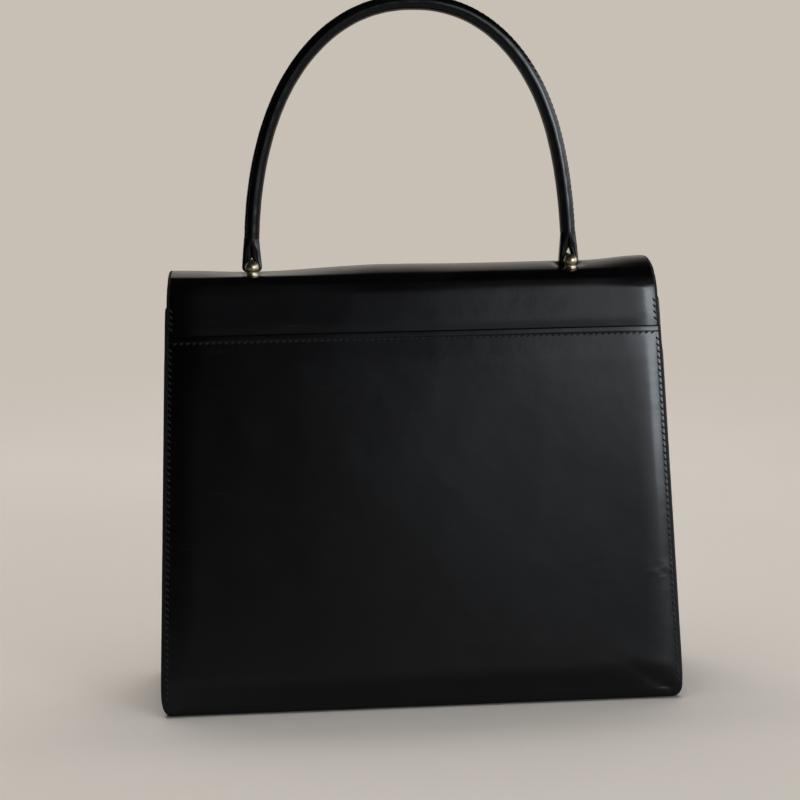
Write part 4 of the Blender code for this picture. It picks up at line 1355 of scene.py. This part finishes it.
# %% [markdown]
# The closure that fits this kind of bag is a turn lock: an oval plate with a slot on the flap, a
# base plate on the front, and a small bar that turns across the slot. Slabs with rounded edges
# give each plate the soft rim of pressed and polished metal, and a lathe turns the rivets' domes.

# %% Turn lock
SEAT = wall_frame(FRONT, Vector((0, -23.388 * MM, 131.92 * MM)))
LOCK_PLATE, KNOB_ROOM, KNOB_HIGH = 1.2 * MM, 0.4 * MM, 4 * MM
LOCK_OVAL = [
    (17 * MM * math.cos(a), 12 * MM * math.sin(a))
    for a in (2 * math.pi * i / 72 for i in range(72))
]
PLATE_SLOT = stadium(17 * MM, 11.5 * MM)
LOCK_PLATES = (  # name, outline, holes, low, high, bevel, place, body and CAD node
    ("lock_oval_plate", LOCK_OVAL, (PLATE_SLOT,), GAP, GAP + LOCK_PLATE, 0.4 * MM, FLAP_LOCK,
     "flap", "lock_flap_plate"),
    ("lock_oval_backing", LOCK_OVAL, (PLATE_SLOT,), -5.1 * MM, -4.3 * MM, 0.2 * MM, FLAP_LOCK,
     "flap", "lock_flap_backing"),
    ("lock_seat_plate", stadium(28 * MM, 16 * MM), (), GAP, 1.1 * MM, 0.25 * MM, SEAT,
     "shell", "lock_base_plate"),
)
for name, outline, holes, low, high, bevel, place, body, node in LOCK_PLATES:
    made = slab(name, outline, holes, low, high, GOLD, bevel, place)
    dress(made, body, "pale_gold", node)


def rivet_head(name, place, x, low, body, node):
    """A domed head with a short shank under it."""
    radius, height, shank = 1.7 * MM, 0.6 * MM, 1.0 * MM
    quarter = np.linspace(0, math.pi / 2, 10)
    line = [(radius * math.sin(a), low + height * math.cos(a)) for a in quarter]
    line[0] = (0.0, low + height)
    line += [(radius, low), (shank, low), (shank, low - 1.2 * MM), (0.0, low - 1.2 * MM)]
    made = lathe(name, line, place @ Matrix.Translation((x, 0, 0)), GOLD, 40)
    return dress(made, body, "pale_gold", node)


for side, word in SIDES:  # the CAD's own rivet says which side is left
    side_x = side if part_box("flap_rivet_left")[0].x > 0 else -side
    rivet_head("flap_rivet_head_" + word, FLAP_LOCK, side_x * 13.2 * MM, 1.8 * MM,
               "flap", "flap_rivet_" + word)
    rivet_head("lock_rivet_head_" + word, SEAT, side_x * 6.2 * MM, 1.4 * MM,
               "shell", "lock_rivet_" + word)

SPINDLE, SPINDLE_END = 2 * MM, -4.6 * MM
knob_low = FLAP_ROOM + FLAP_STACK + GAP + LOCK_PLATE + KNOB_ROOM
knob = slab("toggle_bar", stadium(15 * MM, 5.5 * MM), (), knob_low, knob_low + KNOB_HIGH, GOLD,
            1.1 * MM, SEAT)
dress(knob, "toggle", "pale_gold", "lock_toggle")
spindle_top = knob_low + 1 * MM
spindle_line = [(0, spindle_top), (SPINDLE, spindle_top), (SPINDLE, SPINDLE_END), (0, SPINDLE_END)]
spindle = lathe("toggle_spindle", spindle_line, SEAT, GOLD, 40)
dress(spindle, "toggle", "pale_gold")

# %% [markdown]
# Stitches could be painted on, but a real thread catches light and stands in its own holes. One
# small capsule with sunken ends is copied along every sewn line, each copy turned a little
# differently, as hand-guided stitches are. All stitches of a line are one mesh.


# %% Stitch maker
def stitch_template(length, radius, rings=9, sides=8):
    """An arched capsule along X, whose ends dive into the leather."""
    points, faces = [], []
    for i in range(rings):
        t = -1 + 2 * i / (rings - 1)
        thick = radius * max(0.05, (1 - abs(t) ** 5)) ** 0.5
        arched = radius * 0.55 - radius * 1.5 * abs(t) ** 3
        for j in range(sides):
            a = 2 * math.pi * j / sides
            points.append((t * length / 2, thick * math.cos(a), arched + thick * math.sin(a)))
    for i in range(rings - 1):
        for j in range(sides):
            k = (j + 1) % sides
            low, high = i * sides, (i + 1) * sides
            faces.append((low + j, low + k, high + k, high + j))
    faces += [tuple(range(sides))[::-1], tuple(range((rings - 1) * sides, rings * sides))]
    return np.array(points), faces


def sew(name, places, body, length=2.45 * MM, radius=0.42 * MM, slant=28.0):
    """One stitch at each (point, direction, normal)."""
    template, pattern = stitch_template(length, radius)
    points, faces = [], []
    rng = random.Random(name)
    for point, direction, normal in places:
        normal = Vector(normal).normalized()
        along = Vector(direction).normalized()
        turned = math.radians(slant + rng.uniform(-2.5, 2.5))
        along = Matrix.Rotation(turned, 3, normal) @ along
        turn = np.array(Matrix((along, normal.cross(along), normal)))
        first = len(points) * len(template)
        points.append(template @ turn + np.array(point))
        faces += [tuple(first + i for i in face) for face in pattern]
    mesh = bpy.data.meshes.new(name)
    mesh.from_pydata(np.concatenate(points).tolist(), [], faces)
    mesh.materials.append(THREAD)
    return dress(close_up(name, mesh), body, "black_leather")


def stitch_run(length, start=0.0, pitch=PITCH_STITCH):
    """The middle of each stitch along a line, from start to as far from its end."""
    count = int(round((length - 2 * start) / pitch))
    return [start + (length - 2 * start) * (i + 0.5) / count for i in range(count)]


print("one stitch has", len(stitch_template(1, 1)[1]), "faces")

# %% [markdown]
# Across the back seam, down both sides of the panels and up the ends of the yoke the thread lies
# on a swelling surface. Each stitch therefore asks the leather's own relief how high it stands
# there, and is set just below that.


# %% Stitches of the body
SUNK = 0.17 * MM
SIDE_STITCH = (2.9 * MM, 0.42 * MM, 46.0)


def on_leather(wall, relief, x, s, z, d, under=0.0):
    """The place of a stitch: just under the face that a relief gives on a wall."""
    proud = float(relief(*(np.array([[v]]) for v in (x, s, z, d)))[0, 0])
    y, z = wall.point(z)
    return Vector((x, y, z)) + wall.normal() * (proud - under - SUNK)


seam_z = SEAM_Z - SEAM_STITCH_DROP * math.cos(BACK.lean)
seam_half = panel_half(seam_z) - 3.0 * MM
seam_places = []
for t in stitch_run(2 * seam_half):
    x = t - seam_half
    edge = panel_half(seam_z) - abs(x)
    point = on_leather(BACK, body_relief, x, SEAM_STITCH_DROP, seam_z, edge)
    seam_places.append((point, (1, 0, 0), BACK.normal()))
sew("back_seam_stitches", seam_places, "shell")

SIDE_LOW, YOKE_LOW, ON_FRONT = 8 * MM, 187 * MM, BACK_LENGTH + 200 * MM
SIDE_ROWS = (  # name, wall, relief, lowest and highest stitch, distance along the leather, depth
    ("back", BACK, body_relief, SIDE_LOW, SEAM_Z - 5 * MM,
     lambda z: (SEAM_Z - z) / math.cos(BACK.lean), 0.0),
    ("front", FRONT, body_relief, SIDE_LOW, MOUTH_Z - 3 * MM, lambda z: ON_FRONT, 0.0),
    ("yoke", BACK, rear_relief, YOKE_LOW, YOKE_LOW + 12 * MM,
     lambda z: REAR_FLAT - SHOULDER * (math.pi / 2 - BACK.lean)
     - (HINGE_Z - z) / math.cos(BACK.lean), YOKE_DEPTH),
)
for side, word in SIDES:
    for row, wall, relief, low, high, along, under in SIDE_ROWS:
        places = []
        for t in stitch_run(high - low):
            z = low + t
            x = side * (panel_half(z) - SIDE_STITCH_INSET)
            point = on_leather(wall, relief, x, along(z), z, SIDE_STITCH_INSET, under)
            places.append((point, wall.up(), wall.normal()))
        sew(f"{row}_{word}_stitches", places, "shell", *SIDE_STITCH)
print("stitches in the back seam:", len(seam_places))

# %% [markdown]
# The flap's row follows its rim round the lower corners, and the handle's row follows the seam
# that closes the leather. Both lines are known already, so a stitch only needs a distance along
# them.

# %% Stitches of the flap and the handle
RIM_INSET, RIM_TOP = 2.4 * MM, 4 * MM


def flap_rim_places():
    """Down one side of the flap, round its lower corners and up the other side."""
    up, out = FRONT.up(), FRONT.normal()
    top = FLAP_HINGE - up * RIM_TOP
    reach = FLAP_LENGTH - RIM_TOP
    radius = FLAP_CORNER - RIM_INSET
    low_half = panel_half(FLAP_END_Z) - FLAP_INSET - RIM_INSET
    high_half = panel_half(top.z) - FLAP_INSET - RIM_INSET
    straight = np.linspace(0, reach - FLAP_CORNER, 40)
    line = [(high_half + (low_half - high_half) * t / reach, t) for t in straight]
    across, down = low_half - radius, reach - RIM_INSET - radius
    quarter = np.linspace(0, math.pi / 2, 20)
    line += [(across + radius * math.cos(a), down + radius * math.sin(a)) for a in quarter]
    line += [(-x, t) for x, t in reversed(line)]
    line = np.array(line)
    along = np.concatenate([[0], np.cumsum(np.hypot(*np.diff(line, axis=0).T))])
    for t in stitch_run(along[-1]):
        x, down = (float(np.interp(t, along, line[:, i])) for i in (0, 1))
        x2, down2 = (float(np.interp(t + 0.5 * MM, along, line[:, i])) for i in (0, 1))
        point = top - up * down + Vector((x, 0, 0)) - out * 0.02 * MM
        yield point, Vector((x2 - x, 0, 0)) - up * (down2 - down), out


def on_handle(t, table):
    """A point or a direction at a distance along the handle."""
    return Vector([float(np.interp(t, s_handle, table[:, i])) for i in range(3)])


sew("flap_rim_stitches", list(flap_rim_places()), "flap")

handle_places = []
stitch_turn = SEAM_TURN + 1.15 * MM / TUBE
for t in stitch_run(s_handle[-1], 4 * MM, HANDLE_PITCH):
    out = on_handle(t, outwards).normalized()
    normal = out * math.sin(stitch_turn) + Vector((0, math.cos(stitch_turn), 0))
    point = on_handle(t, centre_line) + normal * (TUBE - 0.12 * MM)
    handle_places.append((point, on_handle(t, tangents), normal))
sew("handle_stitches", handle_places, "handle", 1.9 * MM, 0.22 * MM, 8.0)
print("stitches along the handle:", len(handle_places))

# %% [markdown]
# A black glossy bag is drawn by what it mirrors. The studio has a pale floor that sweeps up into a
# backdrop. To the camera it stays pale everywhere and fades into the background's plain colour.
# To the leather it looks darker on the camera's side and above, as a dim room would, so that the
# panel stays deep black while the crest mirrors the pale floor behind the bag.

# %% Floor
BACKGROUND = (0.58, 0.525, 0.465)
BLACK = (0.0, 0.0, 0.0, 1.0)
SWEEP_Y, SWEEP_RADIUS, SWEEP_TOP, SWEEP_HALF = -1.5, 0.9, 3.2, 5.0


def floor_finish():
    floor = Finish("pale_studio_sweep", (0.62, 0.58, 0.53), 0.7, specular_ior_level=0.0)
    pale = floor.mix(floor.noise(260.0, 3.0, 0.5), (0.60, 0.575, 0.54, 1), (0.65, 0.62, 0.585, 1))
    toward_room = floor.part(floor.place, "Y").step(-0.1, 0.12)
    height = floor.part(floor.place, "Z").step(0.7, 2.4)
    mirrored = floor.mix(toward_room, (0.42, 0.40, 0.37, 1), (0.17, 0.17, 0.175, 1))
    mirrored = floor.mix(height, mirrored, (0.02, 0.02, 0.02, 1))
    seen = floor.node("ShaderNodeLightPath", {}, {}, "Is Camera Ray")
    length = {"operation": "LENGTH"}
    away = floor.node("ShaderNodeVectorMath", length, {0: floor.place}, "Value")
    far = away.step(0.55, 1.5) * seen
    floor.feed("Base Color", floor.mix(far, floor.mix(seen, mirrored, pale), BLACK))
    floor.feed("Emission Color", floor.mix(far, BLACK, (*BACKGROUND, 1.0)))
    floor.feed("Emission Strength", 1.0)
    return floor.material


sweep = [(4.0, 0.0), (SWEEP_Y, 0.0)]
for angle in np.linspace(0, math.pi / 2, 24)[1:]:
    run, rise = SWEEP_RADIUS * math.sin(angle), SWEEP_RADIUS - SWEEP_RADIUS * math.cos(angle)
    sweep.append((SWEEP_Y - run, rise))
sweep.append((SWEEP_Y - SWEEP_RADIUS, SWEEP_TOP))
sweep_mesh = bpy.data.meshes.new("studio_sweep")
sweep_mesh.from_pydata(
    [(x, y, z) for y, z in sweep for x in (-SWEEP_HALF, SWEEP_HALF)], [],
    [(2 * i, 2 * i + 1, 2 * i + 3, 2 * i + 2) for i in range(len(sweep) - 1)],
)
sweep_mesh.materials.append(floor_finish())
sweep_mesh.shade_smooth()
made = link_mesh("studio_sweep", sweep_mesh)
print("the floor sweeps up", SWEEP_Y, "m in front of the bag's middle")

# %% [markdown]
# Two large soft boxes light the floor and the backdrop from above, and are hidden from
# reflections. A small cool one at the camera's right is the only lamp that the leather mirrors:
# it draws the bright strip down that edge.


# %% Lights
def soft_box(name, place, target, size, power, colour, mirrored):
    data = bpy.data.lights.new(name, "AREA")
    data.shape = "RECTANGLE"
    data.size, data.size_y = size
    data.energy = power
    data.color = colour
    made = link_mesh(name, data)
    made.location = place
    made.rotation_euler = (Vector(target) - Vector(place)).to_track_quat("-Z", "Y").to_euler()
    made.visible_glossy = mirrored
    return made


soft_box("top_box", (0.1, -0.2, 2.2), (0, -0.2, 0.0), (2.6, 2.0), 40, (1.0, 0.96, 0.91), False)
soft_box("backdrop_box", (0.0, -0.9, 2.6), (0, -2.3, 0.9), (3.2, 0.8), 33, (1.0, 0.95, 0.89), False)
lamp = soft_box("right_box", (-1.17, 1.60, 0.57), (0, 0, 0.12), (0.50, 0.74), 5.8,
                (0.84, 0.92, 1.0), True)
print("the mirrored lamp stands", round(lamp.location.length, 2), "m from the bag")

# %% [markdown]
# The world is the room behind the camera, and only the leather sees it: nearly black to the left,
# a dim grey wall to the right that grows paler outwards, and a bright curtained window at the far
# right. Each area is a soft mask on the direction that a ray goes. The camera sees the plain
# background colour instead.


# %% World
def studio_world():
    world = bpy.data.worlds.new("studio")
    bpy.context.scene.world = world
    world.use_nodes = True
    world.node_tree.nodes.clear()
    room = Graph(world.node_tree)
    direction = room.node("ShaderNodeTexCoord", {}, {}, "Generated")
    x, z = room.part(direction, "X"), room.part(direction, "Z")
    wall = room.mix(z.step(0.06, 0.17), (0.18, 0.185, 0.19, 1), (0.36, 0.37, 0.385, 1))
    wall = room.mix(x.step(-0.05, -0.36), wall, (0.62, 0.66, 0.72, 1))
    right_side = (z * 0.9 + x).step(0.075, -0.05) * z.step(0.46, 0.24)
    colour = room.mix(right_side, (0.006, 0.006, 0.007, 1), wall)
    curtain = x.step(-0.125, -0.20) * z.step(0.04, 0.13) * z.step(0.52, 0.38)
    colour = room.mix(curtain, colour, (1.25, 1.3, 1.4, 1))
    seen = room.node("ShaderNodeLightPath", {}, {}, "Is Camera Ray")
    colour = room.mix(seen, colour, (*BACKGROUND, 1.0))
    shade = room.node("ShaderNodeBackground", {}, {"Color": colour, "Strength": 1.0})
    output = world.node_tree.nodes.new("ShaderNodeOutputWorld")
    room.connect(output.inputs["Surface"], shade)
    return world


print("world:", len(studio_world().node_tree.nodes), "nodes")

# %% [markdown]
